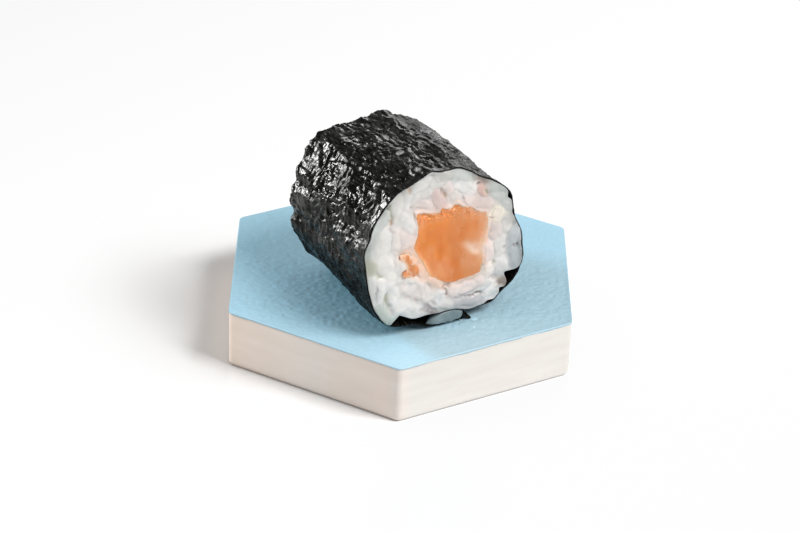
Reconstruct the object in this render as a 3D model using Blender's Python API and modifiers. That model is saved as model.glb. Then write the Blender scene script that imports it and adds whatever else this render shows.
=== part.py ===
"""Salmon maki on its hexagonal serving board. Metres, +Z up, origin at the centre of the underside.

The board is a block with a thin coat on top. The roll lies on it: one sheet of nori wound
round rice with a little overlap underneath, salmon through the middle, a scrap of salmon
beside it, and one grain caught between the two layers of nori. Sections of the roll are drawn
as seen from the cut face, x to the right, z up, from the roll's axis; y runs back along it.
"""

import math

import bmesh
import bpy
import numpy as np

MM = 0.001
GAP = 0.3  # clearance between pieces that touch, in mm like every size below

# Serving board
BOARD_ACROSS_CORNERS = 64.0
BOARD_HEIGHT = 10.0
COAT_THICKNESS = 0.9
CORNER_ROUNDING = 1.3
FOOT_ROUNDING = 0.8
COAT_ROUNDING = 0.3

# Place of the roll's cut face on the board
ROLL_LENGTH = 24.5
ROLL_TURN = 30.0
FACE_X = 6.56
FACE_Y = -18.5

# Outline of the roll: a round section with soft corners, each (angle, height, half width)
REST = 14.2
FRONT_RADIUS = 14.1
FRONT_CORNERS = ((330, 2.0, 26), (225, 1.5, 15), (60, -1.0, 17), (141, 0.8, 41))
BACK_RADIUS = 14.4
BACK_CORNERS = ((330, 1.5, 26), (135, 0.9, 20), (101, -0.3, 12))
BACK_SAG = 0.06
LUMPS = ((5, 4, 0.11), (9, -7, 0.11), (14, 11, 0.09))

# Sheet of nori: the angles at which it starts, inside, and ends, outside
NORI_THICKNESS = 0.4
NORI_START = -111.0
NORI_END = 291.6
NORI_STEP = 4.0
NORI_RINGS = 8
TIP_DROOP = 0.5
TIP_LENGTH = 9.0
RIM_WAVE = 0.25
RIM_WAVES_ROUND = 3

# Hollow under the rice, where the inner end of the sheet lies, and gaps at the rim
HOLLOW_DEPTH = 2.3
HOLLOW_RISE = (230, 243)
HOLLOW_FALL = (282, 306)
RIM_GAPS = ((328, 1.5, 5), (33, 0.8, 5), (347, 0.5, 6))

# Rice: a core, set back from the cut faces, with the grains that show fused to it
CORE_SETBACK = 1.25
CORE_STEP = 5.0
CORE_RINGS = 6
GRAIN_LENGTH = 6.6
GRAIN_SHORTEST = 2.8
GRAIN_WIDTH = 2.75
GRAIN_WIDTH_SPREAD = (0.90, 1.08)
GRAIN_PROUD = (-0.35, 0.40)
GRAIN_TRIES = 12000
GRAIN_SPACING = 0.55
RIM_GRAIN_TILT = 14.0
GRAIN_CLEARANCE = 1.5 * GAP
GRAIN_ROOM = 0.02
GRAIN_SIDES = 6
GRAIN_BANDS = 4
GRAIN_SEED = 11

# Grain caught between the layers of nori
SEAM_GRAIN_SIZE = (6.2, 2.8, 1.25)
SEAM_GRAIN_PLACE = (1.1, 1.7, -12.85)

# Salmon, cut across: its corners in order, and those of the scrap beside it
SALMON_CORNERS = (
    (-5.5, 7.5), (-3.5, 7.4), (-3.0, 6.7), (-1.2, 6.7), (-0.6, 7.5), (1.7, 7.6),
    (4.6, 6.2), (7.4, 4.5), (7.8, 2.0), (6.9, -0.7), (4.9, -1.2), (6.9, -2.3),
    (7.1, -4.4), (5.5, -6.0), (1.6, -6.4), (-0.4, -5.9), (-3.4, -3.1), (-5.6, 1.2),
    (-4.9, 3.9),
)
SCRAP_CORNERS = (
    (-8.0, 0.6), (-7.1, 0.7), (-6.2, -0.3), (-4.9, -2.9), (-5.2, -3.5), (-7.1, -2.9),
    (-6.6, -1.7), (-7.5, -0.4),
)
FILLING_SETBACK = 0.3
FILLING_ROUNDING = 0.35
FILLING_RINGS = 5
FILLING_TWIST = 9.0


def clear_scene():
    for thing in list(bpy.data.objects):
        bpy.data.objects.remove(thing, do_unlink=True)


def new_collection(name):
    collection = bpy.data.collections.new(name)
    bpy.context.scene.collection.children.link(collection)
    return collection


def plain_material(name, colour, roughness, metallic=0.0):
    material = bpy.data.materials.new(name)
    material.use_nodes = True
    shader = material.node_tree.nodes["Principled BSDF"]
    shader.inputs["Base Color"].default_value = (*colour, 1.0)
    shader.inputs["Roughness"].default_value = roughness
    shader.inputs["Metallic"].default_value = metallic
    material.diffuse_color = (*colour, 1.0)
    return material


def add_object(name, mesh, collection, material=None, parent=None):
    thing = bpy.data.objects.new(name, mesh)
    collection.objects.link(thing)
    thing.parent = parent
    if material:
        mesh.materials.append(material)
    return thing


def shade_round(mesh, sharp_from=35.0):
    mesh.shade_smooth()
    mesh.set_sharp_from_angle(angle=math.radians(sharp_from))


def smooth_step(value, low, high):
    """0 up to low, 1 from high on, with an S-curve between."""
    part = np.clip((value - low) / (high - low), 0.0, 1.0)
    return part * part * (3.0 - 2.0 * part)


# Board

def hexagon_block(name, low, high, foot, top):
    """A hexagonal block with a corner towards -Y; foot and top are its edges' roundings."""
    mesh = bpy.data.meshes.new(name)
    block = bmesh.new()
    bmesh.ops.create_cone(
        block, cap_ends=True, segments=6, depth=(high - low) * MM,
        radius1=BOARD_ACROSS_CORNERS / 2 * MM, radius2=BOARD_ACROSS_CORNERS / 2 * MM,
    )
    bmesh.ops.translate(block, verts=block.verts, vec=(0, 0, (low + high) / 2 * MM))
    weight = block.edges.layers.float.new("bevel_weight_edge")
    for edge in block.edges:
        heights = [corner.co.z for corner in edge.verts]
        level = abs(heights[0] - heights[1]) < 0.1 * MM
        rounding = CORNER_ROUNDING
        if level:
            rounding = foot if heights[0] < (low + high) / 2 * MM else top
        edge[weight] = rounding / CORNER_ROUNDING
    block.to_mesh(mesh)
    block.free()
    return mesh


def round_edges(thing):
    bevel = thing.modifiers.new("rounded edges", "BEVEL")
    bevel.limit_method = "WEIGHT"
    bevel.width = CORNER_ROUNDING * MM
    bevel.segments = 3


def build_board(collection):
    seam = BOARD_HEIGHT - COAT_THICKNESS
    block = hexagon_block("board", 0.0, seam - GAP, FOOT_ROUNDING, 0.0)
    cream = plain_material("cream wood", (0.80, 0.74, 0.66), 0.55)
    round_edges(add_object("board", block, collection, cream))
    coat = hexagon_block("board_coat", seam, BOARD_HEIGHT, 0.0, COAT_ROUNDING)
    blue = plain_material("pale blue coat", (0.45, 0.66, 0.76), 0.50)
    round_edges(add_object("board_coat", coat, collection, blue))


# Form of the roll

def corner_bump(angle, centre, height, half_width):
    """A bell curve on a round outline, with its peak at centre; angles in degrees."""
    away = (angle - centre + 180.0) % 360.0 - 180.0
    return height * np.exp(-((away / half_width) ** 2))


def roll_radius(angle, depth):
    """Radius of the roll's outside; depth is 0 at the cut face and 1 at the back."""
    front = FRONT_RADIUS + sum(corner_bump(angle, *corner) for corner in FRONT_CORNERS)
    back = BACK_RADIUS + sum(corner_bump(angle, *corner) for corner in BACK_CORNERS)
    turn = np.radians(angle)
    lumps = sum(size * np.sin(count * turn + drift * depth) for count, drift, size in LUMPS)
    return front + (back - front) * depth + lumps


def hollow(angle):
    """How far the rice stands in from the outer layer along the bottom of the roll."""
    angle = np.asarray(angle) % 360.0
    rise = smooth_step(angle, *HOLLOW_RISE)
    fall = smooth_step(angle, *HOLLOW_FALL)
    return HOLLOW_DEPTH * rise * (1.0 - fall)


def rice_radius(angle, depth):
    """Radius of the rice: inside the nori and its inner end, less the gaps at the rim."""
    gaps = sum(corner_bump(angle, *gap) for gap in RIM_GAPS)
    wall = NORI_THICKNESS + GAP
    return roll_radius(angle, depth) - wall - hollow(angle) - gaps


def sag(height, depth):
    """The roll gets lower towards the back, and its underside stays on the board."""
    return -REST + (height + REST) * (1.0 - BACK_SAG * depth)


def section_points(angle, radius, depth):
    turn = np.radians(angle)
    return radius * np.cos(turn), sag(radius * np.sin(turn), depth)


# Nori

def nori_sheet():
    """Middle surface of the sheet: a spiral in section, carried back along the roll."""
    count = round((NORI_END - NORI_START) / NORI_STEP) + 1
    angle = np.linspace(NORI_START, NORI_END, count)[:, None]
    depth = np.linspace(0.0, 1.0, NORI_RINGS + 1)[None, :]
    inner_end = np.where(angle < 0.0, hollow(angle), 0.0)
    droop = TIP_DROOP * smooth_step(angle, NORI_END - TIP_LENGTH, NORI_END)
    radius = roll_radius(angle, depth) - NORI_THICKNESS / 2 - inner_end + droop
    x, z = section_points(angle, radius, depth)
    z = np.maximum(z, -REST + NORI_THICKNESS / 2)
    near_rim = np.abs(2.0 * depth - 1.0) ** 4
    ripple = RIM_WAVE * np.sin(RIM_WAVES_ROUND * np.radians(angle) + math.pi * depth)
    y = depth * ROLL_LENGTH + near_rim * ripple
    return np.stack(np.broadcast_arrays(x, y, z), axis=-1)


def sheet_mesh(name, points):
    """An open surface of quads through a grid of points, normals away from the axis."""
    rows, columns = points.shape[:2]
    index = np.arange(rows * columns).reshape(rows, columns)
    corners = (index[:-1, :-1], index[1:, :-1], index[1:, 1:], index[:-1, 1:])
    faces = np.stack([corner.ravel() for corner in corners], axis=1)
    mesh = bpy.data.meshes.new(name)
    mesh.from_pydata((points.reshape(-1, 3) * MM).tolist(), [], faces.tolist())
    return mesh


def build_nori(collection, roll):
    mesh = sheet_mesh("nori", nori_sheet())
    shade_round(mesh)
    green_black = plain_material("nori", (0.018, 0.021, 0.020), 0.45)
    nori = add_object("nori", mesh, collection, green_black, roll)
    wall = nori.modifiers.new("thickness", "SOLIDIFY")
    wall.thickness = NORI_THICKNESS * MM
    wall.offset = 0.0


# Lofted pieces

def loft_mesh(name, rings):
    """A closed solid through rings of points, front to back, with a flat cap at each end."""
    count = len(rings[0])
    index = np.arange(len(rings) * count).reshape(len(rings), count)
    after = np.roll(index, -1, axis=1)
    corners = (index[:-1], after[:-1], after[1:], index[1:])
    sides = np.stack([corner.ravel() for corner in corners], axis=1).tolist()
    caps = [index[0, ::-1].tolist(), index[-1].tolist()]
    mesh = bpy.data.meshes.new(name)
    mesh.from_pydata((np.concatenate(rings) * MM).tolist(), [], sides + caps)
    solid = bmesh.new()
    solid.from_mesh(mesh)
    bmesh.ops.recalc_face_normals(solid, faces=solid.faces)
    solid.to_mesh(mesh)
    solid.free()
    return mesh


def ring_at(x, z, depth):
    """A closed ring of points at one depth, with z already sagged."""
    return np.stack([x, np.full_like(x, depth * ROLL_LENGTH), z], axis=1)


def filling_section(corners, depth, grow=0.0):
    """Outline of a filling at a depth: it turns a little towards the back; grow widens it."""
    outline = np.array(corners, dtype=float)
    middle = outline.mean(axis=0)
    turn = math.radians(FILLING_TWIST) * depth
    spin = np.array([[math.cos(turn), math.sin(turn)], [-math.sin(turn), math.cos(turn)]])
    outline = (outline - middle) @ spin + middle
    if grow:
        outline = widened(outline, grow)
    return outline


def widened(outline, distance):
    """The outline moved outwards by a distance, each corner along its two sides' bisector."""
    ahead = np.roll(outline, -1, axis=0) - outline
    ahead /= np.linalg.norm(ahead, axis=1)[:, None]
    normal = np.stack([ahead[:, 1], -ahead[:, 0]], axis=1)
    if signed_area(outline) < 0:
        normal = -normal
    before = np.roll(normal, 1, axis=0)
    bisector = normal + before
    spread = np.maximum(1.0 + (normal * before).sum(axis=1), 0.4)
    return outline + distance * bisector / spread[:, None]


def signed_area(outline):
    x, z = outline.T
    return 0.5 * float(np.sum(x * np.roll(z, -1) - np.roll(x, -1) * z))


def filling_rings(corners, grow, setback, rounding):
    """Rings of a filling, with its edge rounded at both cut faces if rounding is not 0."""
    rings = []
    ends = setback / ROLL_LENGTH
    edge = rounding / ROLL_LENGTH
    for depth in np.linspace(ends + edge, 1.0 - ends - edge, FILLING_RINGS):
        x, z = filling_section(corners, depth, grow).T
        rings.append(ring_at(x, sag(z, depth), depth))
    if rounding:
        for depth, place in ((ends, 0), (1.0 - ends, len(rings) + 1)):
            x, z = filling_section(corners, depth, grow - rounding / 2).T
            rings.insert(place, ring_at(x, sag(z, depth), depth))
    return rings


def build_filling(name, corners, material, collection, roll):
    rings = filling_rings(corners, 0.0, FILLING_SETBACK, FILLING_ROUNDING)
    mesh = loft_mesh(name, rings)
    shade_round(mesh)
    add_object(name, mesh, collection, material, roll)


def build_salmon(collection, roll):
    flesh = plain_material("salmon", (0.78, 0.27, 0.09), 0.35)
    build_filling("salmon", SALMON_CORNERS, flesh, collection, roll)
    scrap = plain_material("salmon scrap", (0.80, 0.33, 0.14), 0.35)
    build_filling("salmon_scrap", SCRAP_CORNERS, scrap, collection, roll)


# Rice

def add_cutter(name, corners, cutters, roll):
    """The space of one filling, widened by the clearance and longer than the roll."""
    rings = filling_rings(corners, GAP, -1.0, 0.0)
    cutter = add_object(name, loft_mesh(name, rings), cutters, None, roll)
    cutter.hide_render = True
    cutter.display_type = "WIRE"


def core_mesh():
    angle = np.arange(0.0, 360.0, CORE_STEP)
    ends = CORE_SETBACK / ROLL_LENGTH
    rings = []
    for depth in np.linspace(ends, 1.0 - ends, CORE_RINGS):
        x, z = section_points(angle, rice_radius(angle, depth), depth)
        rings.append(ring_at(x, z, depth))
    return loft_mesh("rice", rings)


def inside(points, outline):
    """Which points lie inside an outline: an odd number of its sides crosses each one's ray."""
    x, z = points[:, :1], points[:, 1:]
    x1, z1 = outline.T
    x2, z2 = np.roll(outline, -1, axis=0).T
    crosses = (z1 > z) != (z2 > z)
    rise = np.where(z2 == z1, 1.0, z2 - z1)
    at = x1 + (z - z1) * (x2 - x1) / rise
    return (crosses & (x < at)).sum(axis=1) % 2 == 1


def grain_rim(x, z, turn, half_length, half_width):
    """Points round the oval that a grain covers in the section."""
    way = np.linspace(0.0, 2.0 * math.pi, 16, endpoint=False)
    along = half_length * np.cos(way)
    across = half_width * np.sin(way)
    rim_x = x + along * math.cos(turn) - across * math.sin(turn)
    rim_z = z + along * math.sin(turn) + across * math.cos(turn)
    return np.stack([rim_x, rim_z], axis=1)


def grain_spine(x, z, turn, half_length, half_width):
    """Five points along a grain's middle, for keeping its neighbours away."""
    reach = max(half_length - half_width, 0.0) * np.linspace(-1.0, 1.0, 5)
    return np.stack([x + reach * math.cos(turn), z + reach * math.sin(turn)], axis=1)


def fits_in_rice(rim, depth, fillings):
    angle = np.degrees(np.arctan2(rim[:, 1], rim[:, 0]))
    if np.any(np.hypot(*rim.T) > rice_radius(angle, depth) + GRAIN_ROOM):
        return False
    return not any(inside(rim, edge).any() or inside(edge, rim).any() for edge in fillings)


def grain_to_try(length, depth, rng):
    """A grain's place, direction and half sizes: every other one lies along the rim."""
    angle = rng.uniform(0.0, 360.0)
    half_width = GRAIN_WIDTH / 2 * rng.uniform(*GRAIN_WIDTH_SPREAD)
    farthest = float(rice_radius(angle, depth)) - half_width
    radius = farthest * math.sqrt(rng.uniform(0.0, 1.0))
    turn = rng.uniform(0.0, math.pi)
    if rng.uniform() < 0.5:
        radius = farthest
        turn = math.radians(angle + 90.0 + rng.normal(0.0, RIM_GRAIN_TILT))
    x = radius * math.cos(math.radians(angle))
    z = radius * math.sin(math.radians(angle))
    return x, z, turn, length / 2, half_width


def lay_grains(depth, rng):
    """Grains of one cut face, longest first, each where it clears filling, rim and others."""
    fillings = [filling_section(c, depth, GRAIN_CLEARANCE) for c in (SALMON_CORNERS, SCRAP_CORNERS)]
    laid = []
    spines = np.empty((0, 2))
    for length in np.linspace(GRAIN_LENGTH, GRAIN_SHORTEST, GRAIN_TRIES):
        shape = grain_to_try(length, depth, rng)
        proud = rng.uniform(*GRAIN_PROUD)
        if not fits_in_rice(grain_rim(*shape), depth, fillings):
            continue
        spine = grain_spine(*shape)
        apart = np.linalg.norm(spine[:, None] - spines, axis=2)
        if apart.min(initial=REST) < GRAIN_SPACING * GRAIN_WIDTH:
            continue
        laid.append((*shape, proud))
        spines = np.concatenate([spines, spine])
    return laid


def grain_mesh():
    mesh = bpy.data.meshes.new("grain")
    grain = bmesh.new()
    sides = {"u_segments": GRAIN_SIDES, "v_segments": GRAIN_BANDS}
    bmesh.ops.create_uvsphere(grain, **sides, radius=MM)
    grain.to_mesh(mesh)
    grain.free()
    return mesh


def add_grains(collection, roll):
    """Grains at both cut faces, sunk in the core by half and standing out unevenly."""
    mesh = grain_mesh()
    rng = np.random.default_rng(GRAIN_SEED)
    for depth, outwards in ((0.0, -1.0), (1.0, 1.0)):
        for x, z, turn, half_length, half_width, proud in lay_grains(depth, rng):
            grain = add_object("grain", mesh, collection, None, roll)
            y = depth * ROLL_LENGTH - outwards * (half_width - proud)
            grain.location = (x * MM, y * MM, sag(z, depth) * MM)
            grain.rotation_euler = (0.0, math.pi / 2 - turn, 0.0)
            grain.scale = (half_width, half_width, half_length)


def apply_modifiers(thing):
    graph = bpy.context.evaluated_depsgraph_get()
    mesh = bpy.data.meshes.new_from_object(thing.evaluated_get(graph))
    thing.modifiers.clear()
    thing.data = mesh


def keep_largest_body(mesh):
    """Drops what isn't joined to the main body: loose scraps and the walls of shut hollows."""
    solid = bmesh.new()
    solid.from_mesh(mesh)
    waiting = set(solid.verts)
    bodies = []
    while waiting:
        body = {waiting.pop()}
        front = list(body)
        while front:
            corner = front.pop()
            for edge in corner.link_edges:
                other = edge.other_vert(corner)
                if other not in body:
                    body.add(other)
                    front.append(other)
        waiting -= body
        bodies.append(body)
    main = max(bodies, key=len)
    extra = [corner for body in bodies if body is not main for corner in body]
    bmesh.ops.delete(solid, geom=extra, context="VERTS")
    solid.to_mesh(mesh)
    solid.free()


def boolean(thing, name, operation, operands):
    step = thing.modifiers.new(name, "BOOLEAN")
    step.operation = operation
    step.operand_type = "COLLECTION"
    step.collection = operands
    step.solver = "EXACT"


def build_rice(collection, cutters, roll):
    add_cutter("salmon space", SALMON_CORNERS, cutters, roll)
    add_cutter("scrap space", SCRAP_CORNERS, cutters, roll)
    white = plain_material("rice", (0.80, 0.79, 0.76), 0.40)
    rice = add_object("rice", core_mesh(), collection, None, roll)
    grains = new_collection("grains")
    add_grains(grains, roll)
    boolean(rice, "filling spaces", "DIFFERENCE", cutters)
    boolean(rice, "grains", "UNION", grains)
    apply_modifiers(rice)
    for grain in list(grains.objects):
        bpy.data.objects.remove(grain, do_unlink=True)
    bpy.data.collections.remove(grains)
    keep_largest_body(rice.data)
    rice.data.materials.clear()
    rice.data.materials.append(white)
    shade_round(rice.data)


def build_seam_grain(collection, roll):
    """One grain, flattened between the two layers of nori, near the cut face."""
    mesh = bpy.data.meshes.new("seam_grain")
    grain = bmesh.new()
    bmesh.ops.create_uvsphere(grain, u_segments=14, v_segments=8, radius=0.5)
    size = [length * MM for length in SEAM_GRAIN_SIZE]
    bmesh.ops.scale(grain, verts=grain.verts, vec=size)
    grain.to_mesh(mesh)
    grain.free()
    shade_round(mesh, 60.0)
    pale = plain_material("seam grain", (0.50, 0.54, 0.55), 0.40)
    thing = add_object("seam_grain", mesh, collection, pale, roll)
    thing.location = [place * MM for place in SEAM_GRAIN_PLACE]


def main():
    clear_scene()
    parts = new_collection("salmon maki on board")
    cutters = new_collection("cutters")
    build_board(parts)
    roll = bpy.data.objects.new("roll", None)
    parts.objects.link(roll)
    axis_height = BOARD_HEIGHT + GAP + REST
    roll.location = (FACE_X * MM, FACE_Y * MM, axis_height * MM)
    roll.rotation_euler = (0.0, 0.0, math.radians(ROLL_TURN))
    bpy.context.view_layer.update()
    build_nori(parts, roll)
    build_rice(parts, cutters, roll)
    build_salmon(parts, roll)
    build_seam_grain(parts, roll)


main()
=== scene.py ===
# %% [markdown]
# # A piece of salmon maki on its serving board
#
# This lesson dresses a plain model of one piece of sushi: a sheet of nori wound round rice with
# salmon in the middle, lying on a small hexagonal board with a pale blue top. The plain model is
# the frame. It gives every size and place, and it stays as it is. Each step below makes one
# finished piece that stands where a plain one stood.

# %% Load the frame
import math

import bmesh
import bpy
import numpy as np
from mathutils import Matrix, Vector


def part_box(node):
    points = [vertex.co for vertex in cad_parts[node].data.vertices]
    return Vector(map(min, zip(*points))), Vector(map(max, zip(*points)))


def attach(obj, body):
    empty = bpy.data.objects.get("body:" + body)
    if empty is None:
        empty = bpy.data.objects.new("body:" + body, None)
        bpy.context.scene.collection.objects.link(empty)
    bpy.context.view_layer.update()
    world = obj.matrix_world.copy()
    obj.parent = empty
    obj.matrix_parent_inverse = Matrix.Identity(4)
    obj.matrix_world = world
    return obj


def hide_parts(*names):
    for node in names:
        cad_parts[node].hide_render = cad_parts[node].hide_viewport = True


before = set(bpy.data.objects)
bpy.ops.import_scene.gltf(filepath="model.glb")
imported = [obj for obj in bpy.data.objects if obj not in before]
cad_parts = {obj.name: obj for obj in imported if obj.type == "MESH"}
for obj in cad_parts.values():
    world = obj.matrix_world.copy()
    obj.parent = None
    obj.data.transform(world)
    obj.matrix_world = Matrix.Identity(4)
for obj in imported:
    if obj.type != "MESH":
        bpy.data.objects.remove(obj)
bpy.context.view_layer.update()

MM = 0.001
BOARD_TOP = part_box("board_coat")[1].z
print("frame:", ", ".join(sorted(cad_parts)))
print("board top in mm:", round(BOARD_TOP / MM, 2))

# %% [markdown]
# ## Camera
#
# The picture was taken with a long lens, so the board's far sides look hardly shorter than the
# near ones. A camera can be placed by eye, but then every size is a guess. Here the six top
# corners of the board fixed it: a regular hexagon is seen that way from one place only. The
# camera is set first.

# %% Camera
PICTURE_WIDTH = 800
FOCAL_PIXELS = 2801.0
SENSOR_WIDTH = 36.0
CAMERA_AZIMUTH = -0.60
CAMERA_ELEVATION = 29.38
CAMERA_ROLL = math.radians(2.08)
CAMERA_DISTANCE = 465.15 * MM
AIM_RIGHT = -0.224 * MM
AIM_UP = 0.32 * MM


def direction(azimuth, elevation):
    """The unit vector towards an azimuth, where 0 is +X and 90 is +Y, and an elevation."""
    turn, rise = math.radians(azimuth), math.radians(elevation)
    level = math.cos(rise)
    return Vector((math.cos(turn) * level, math.sin(turn) * level, math.sin(rise)))


def add_object(name, data):
    """A new object that holds a camera, a light or a mesh, linked to the scene."""
    thing = bpy.data.objects.new(name, data)
    bpy.context.scene.collection.objects.link(thing)
    return thing


def camera_placement():
    """Back points from the board to the camera, right is level and up is back times right.

    Right and up are then turned about back by the roll, and the camera stands the distance back
    from the middle of the board's top, moved a little along its own right and up.
    """
    back = direction(CAMERA_AZIMUTH - 90.0, CAMERA_ELEVATION)
    right = direction(CAMERA_AZIMUTH, 0.0)
    up = back.cross(right)
    turned_right = math.cos(CAMERA_ROLL) * right + math.sin(CAMERA_ROLL) * up
    turned_up = math.cos(CAMERA_ROLL) * up - math.sin(CAMERA_ROLL) * right
    placement = Matrix((turned_right, turned_up, back)).transposed().to_4x4()
    middle = Vector((0.0, 0.0, BOARD_TOP))
    offset = AIM_RIGHT * turned_right + AIM_UP * turned_up + CAMERA_DISTANCE * back
    placement.translation = middle + offset
    return placement


lens = bpy.data.cameras.new("camera")
lens.sensor_width = SENSOR_WIDTH
lens.lens = FOCAL_PIXELS / PICTURE_WIDTH * SENSOR_WIDTH
lens.clip_start = 0.01
camera = add_object("camera", lens)
camera.matrix_world = camera_placement()
bpy.context.scene.camera = camera
print("lens in mm:", round(lens.lens, 1))

# %% [markdown]
# ## Light and floor
#
# The piece stands in a white studio. A big soft light from the right makes the shaded side of
# the board. The floor has such a light of its own, farther to the right, so that the shadow
# falls beside the board and the ground behind stays white. A smaller light, low on the left and
# behind, lifts the shade beside the roll, and has a cooler twin for the blue paint. The sky is
# dimmer for the surfaces than for the camera, and dimmer still where it is mirrored, so that
# the nori stays black on a white ground.

# %% Light and floor
SKY_LIGHT = 0.43
SKY_MIRRORED = 0.20
SKY_SEEN = 1.0
WHITE = (1.0, 1.0, 1.0, 1.0)
PAPER_WHITE = (0.96, 0.96, 0.96, 1.0)
PAPER_ROUGHNESS = 0.18
FLOOR_SIZE = 6.0
ROLL_MIDDLE = Vector((0.0, 0.0, 0.025))
CONTRAST_POINTS = (
    (0.04, 0.030), (0.10, 0.098), (0.30, 0.295), (0.50, 0.51), (0.75, 0.79), (0.90, 0.975),
    (0.94, 0.999),
)


def soft_light(name, azimuth, elevation, distance, size, power):
    """A square light that is turned to the roll from its azimuth and elevation."""
    away = direction(azimuth, elevation)
    lamp = add_object(name, bpy.data.lights.new(name, "AREA"))
    lamp.data.size = size
    lamp.data.energy = power
    lamp.location = ROLL_MIDDLE + distance * away
    lamp.rotation_mode = "QUATERNION"
    lamp.rotation_quaternion = away.to_track_quat("Z", "Y")
    return lamp


def white_sky():
    """The world: a strength for surfaces, one for mirror images, one where the camera sees it."""
    world = bpy.data.worlds.new("white studio")
    world.use_nodes = True
    tree = world.node_tree
    sky = tree.nodes["Background"]
    sky.inputs["Strength"].default_value = SKY_LIGHT
    sky.inputs["Color"].default_value = WHITE
    path = tree.nodes.new("ShaderNodeLightPath")
    for ray, strength in (("Is Glossy Ray", SKY_MIRRORED), ("Is Camera Ray", SKY_SEEN)):
        other = tree.nodes.new("ShaderNodeBackground")
        other.inputs["Strength"].default_value = strength
        other.inputs["Color"].default_value = WHITE
        either = tree.nodes.new("ShaderNodeMixShader")
        tree.links.new(path.outputs[ray], either.inputs[0])
        tree.links.new(sky.outputs[0], either.inputs[1])
        tree.links.new(other.outputs[0], either.inputs[2])
        sky = either
    tree.links.new(sky.outputs[0], tree.nodes["World Output"].inputs["Surface"])
    bpy.context.scene.world = world


def studio_floor():
    """A big sheet of white paper under the board; it is stage, not a piece."""
    half = FLOOR_SIZE / 2
    corners = [(-half, -half, 0.0), (half, -half, 0.0), (half, half, 0.0), (-half, half, 0.0)]
    mesh = bpy.data.meshes.new("studio_floor")
    mesh.from_pydata(corners, [], [(0, 1, 2, 3)])
    floor = add_object("studio_floor", mesh)
    paper = bpy.data.materials.new("white paper")
    paper.use_nodes = True
    shader = paper.node_tree.nodes["Principled BSDF"]
    shader.inputs["Base Color"].default_value = PAPER_WHITE
    shader.inputs["Roughness"].default_value = PAPER_ROUGHNESS
    mesh.materials.append(paper)
    return floor


def film_contrast():
    """A gentle S-curve for the picture, as a camera has: deeper shade, clearer light.

    Of the four curves the last is for all colours together.
    """
    view = bpy.context.scene.view_settings
    view.use_curve_mapping = True
    curve = view.curve_mapping.curves[3]
    for place, value in CONTRAST_POINTS:
        curve.points.new(place, value)
    view.curve_mapping.update()


def link_light(lamp, state, *things):
    """Light linking: the lamp shines on these things alone, or on all others."""
    chosen = bpy.data.collections.new(lamp.name + " " + state.lower())
    for place, thing in enumerate(things):
        chosen.objects.link(thing)
        chosen.collection_objects[place].light_linking.link_state = state
    lamp.light_linking.receiver_collection = chosen


white_sky()
studio_paper = studio_floor()
key = soft_light("key", azimuth=-36, elevation=49, distance=0.9, size=0.40, power=6.9)
floor_key = soft_light("floor key", azimuth=-22, elevation=48, distance=1.6, size=0.75, power=24.5)
fill = soft_light("fill", azimuth=160, elevation=24, distance=0.6, size=0.20, power=1.9)
cool_fill = soft_light("cool fill", azimuth=160, elevation=24, distance=0.6, size=0.20, power=2.0)
cool_fill.data.color = (0.62, 1.0, 1.15)
bpy.context.scene.view_settings.view_transform = "Standard"
film_contrast()

# %% [markdown]
# ## Three helpers: unevenness, surfaces and materials
#
# Food and paint are never even, so most shapes here get some smooth unevenness added. It is
# computed with numpy for all points at once. A surface is a grid of points, and its faces
# follow from the grid's order, so the same few lines can build every piece. Materials are made
# of nodes, and a short helper makes one node, with its numbers and links, in one call.

# %% Unevenness
LATTICE = 32


def uneven(points, cell, seed):
    """Smooth random values from -1 to 1, even zero on average, for points of shape (..., 3).

    Random numbers stand on the corners of boxes of the cell's size. Each point takes a blend
    of the eight corners round it, weighted by an S-curve of its place along each axis.
    """
    table = np.random.default_rng(seed).uniform(-1.0, 1.0, (LATTICE, LATTICE, LATTICE))
    place = np.asarray(points, dtype=float) / np.asarray(cell, dtype=float)
    low = np.floor(place).astype(int)
    part = place - low
    part = part * part * part * (part * (part * 6.0 - 15.0) + 10.0)
    total = 0.0
    for corner in np.ndindex(2, 2, 2):
        at = (low + corner) % LATTICE
        weight = np.prod(np.where(np.array(corner) == 1, part, 1.0 - part), axis=-1)
        total = total + table[at[..., 0], at[..., 1], at[..., 2]] * weight
    return total


def creased(points, cell, seed):
    """Sharp ridges with soft hollows: a half less twice the unevenness without its sign."""
    return 0.5 - 2.0 * np.abs(uneven(points, cell, seed))


def layered(kind, points, layers):
    """Sum of one kind of unevenness; each layer is its size in mm, its cell and its seed."""
    return sum(size * kind(points, cell, seed) for size, cell, seed in layers)


def smooth_step(value, low, high):
    """0 up to low, 1 from high on, with an S-curve between."""
    part = np.clip((value - low) / (high - low), 0.0, 1.0)
    return part * part * (3.0 - 2.0 * part)


def bell(distance, half_width):
    """A bell curve: 1 at no distance, and e to the power of -1 at the half width."""
    return np.exp(-((distance / half_width) ** 2))


def corner_bump(angle, centre, height, half_width):
    """A bell curve on a round outline, with its peak at centre; angles in degrees."""
    return height * bell((angle - centre + 180.0) % 360.0 - 180.0, half_width)


def bumps(angle, rows):
    """Sum of such curves, one for each row of centre, height and half width."""
    return sum(corner_bump(angle, *row) for row in rows)


print("unevenness at three points:", uneven(np.eye(3) * 0.4, 1.0, 1).round(2))

# %% Surfaces


def grid_faces(rows, columns, close_rows=False, close_columns=False):
    """Quads between neighbours in a grid of points; a closed direction joins end to start."""
    index = np.arange(rows * columns).reshape(rows, columns)
    if close_rows:
        index = np.concatenate([index, index[:1]], axis=0)
    if close_columns:
        index = np.concatenate([index, index[:, :1]], axis=1)
    corners = (index[:-1, :-1], index[1:, :-1], index[1:, 1:], index[:-1, 1:])
    return np.stack([corner.ravel() for corner in corners], axis=1)


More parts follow.
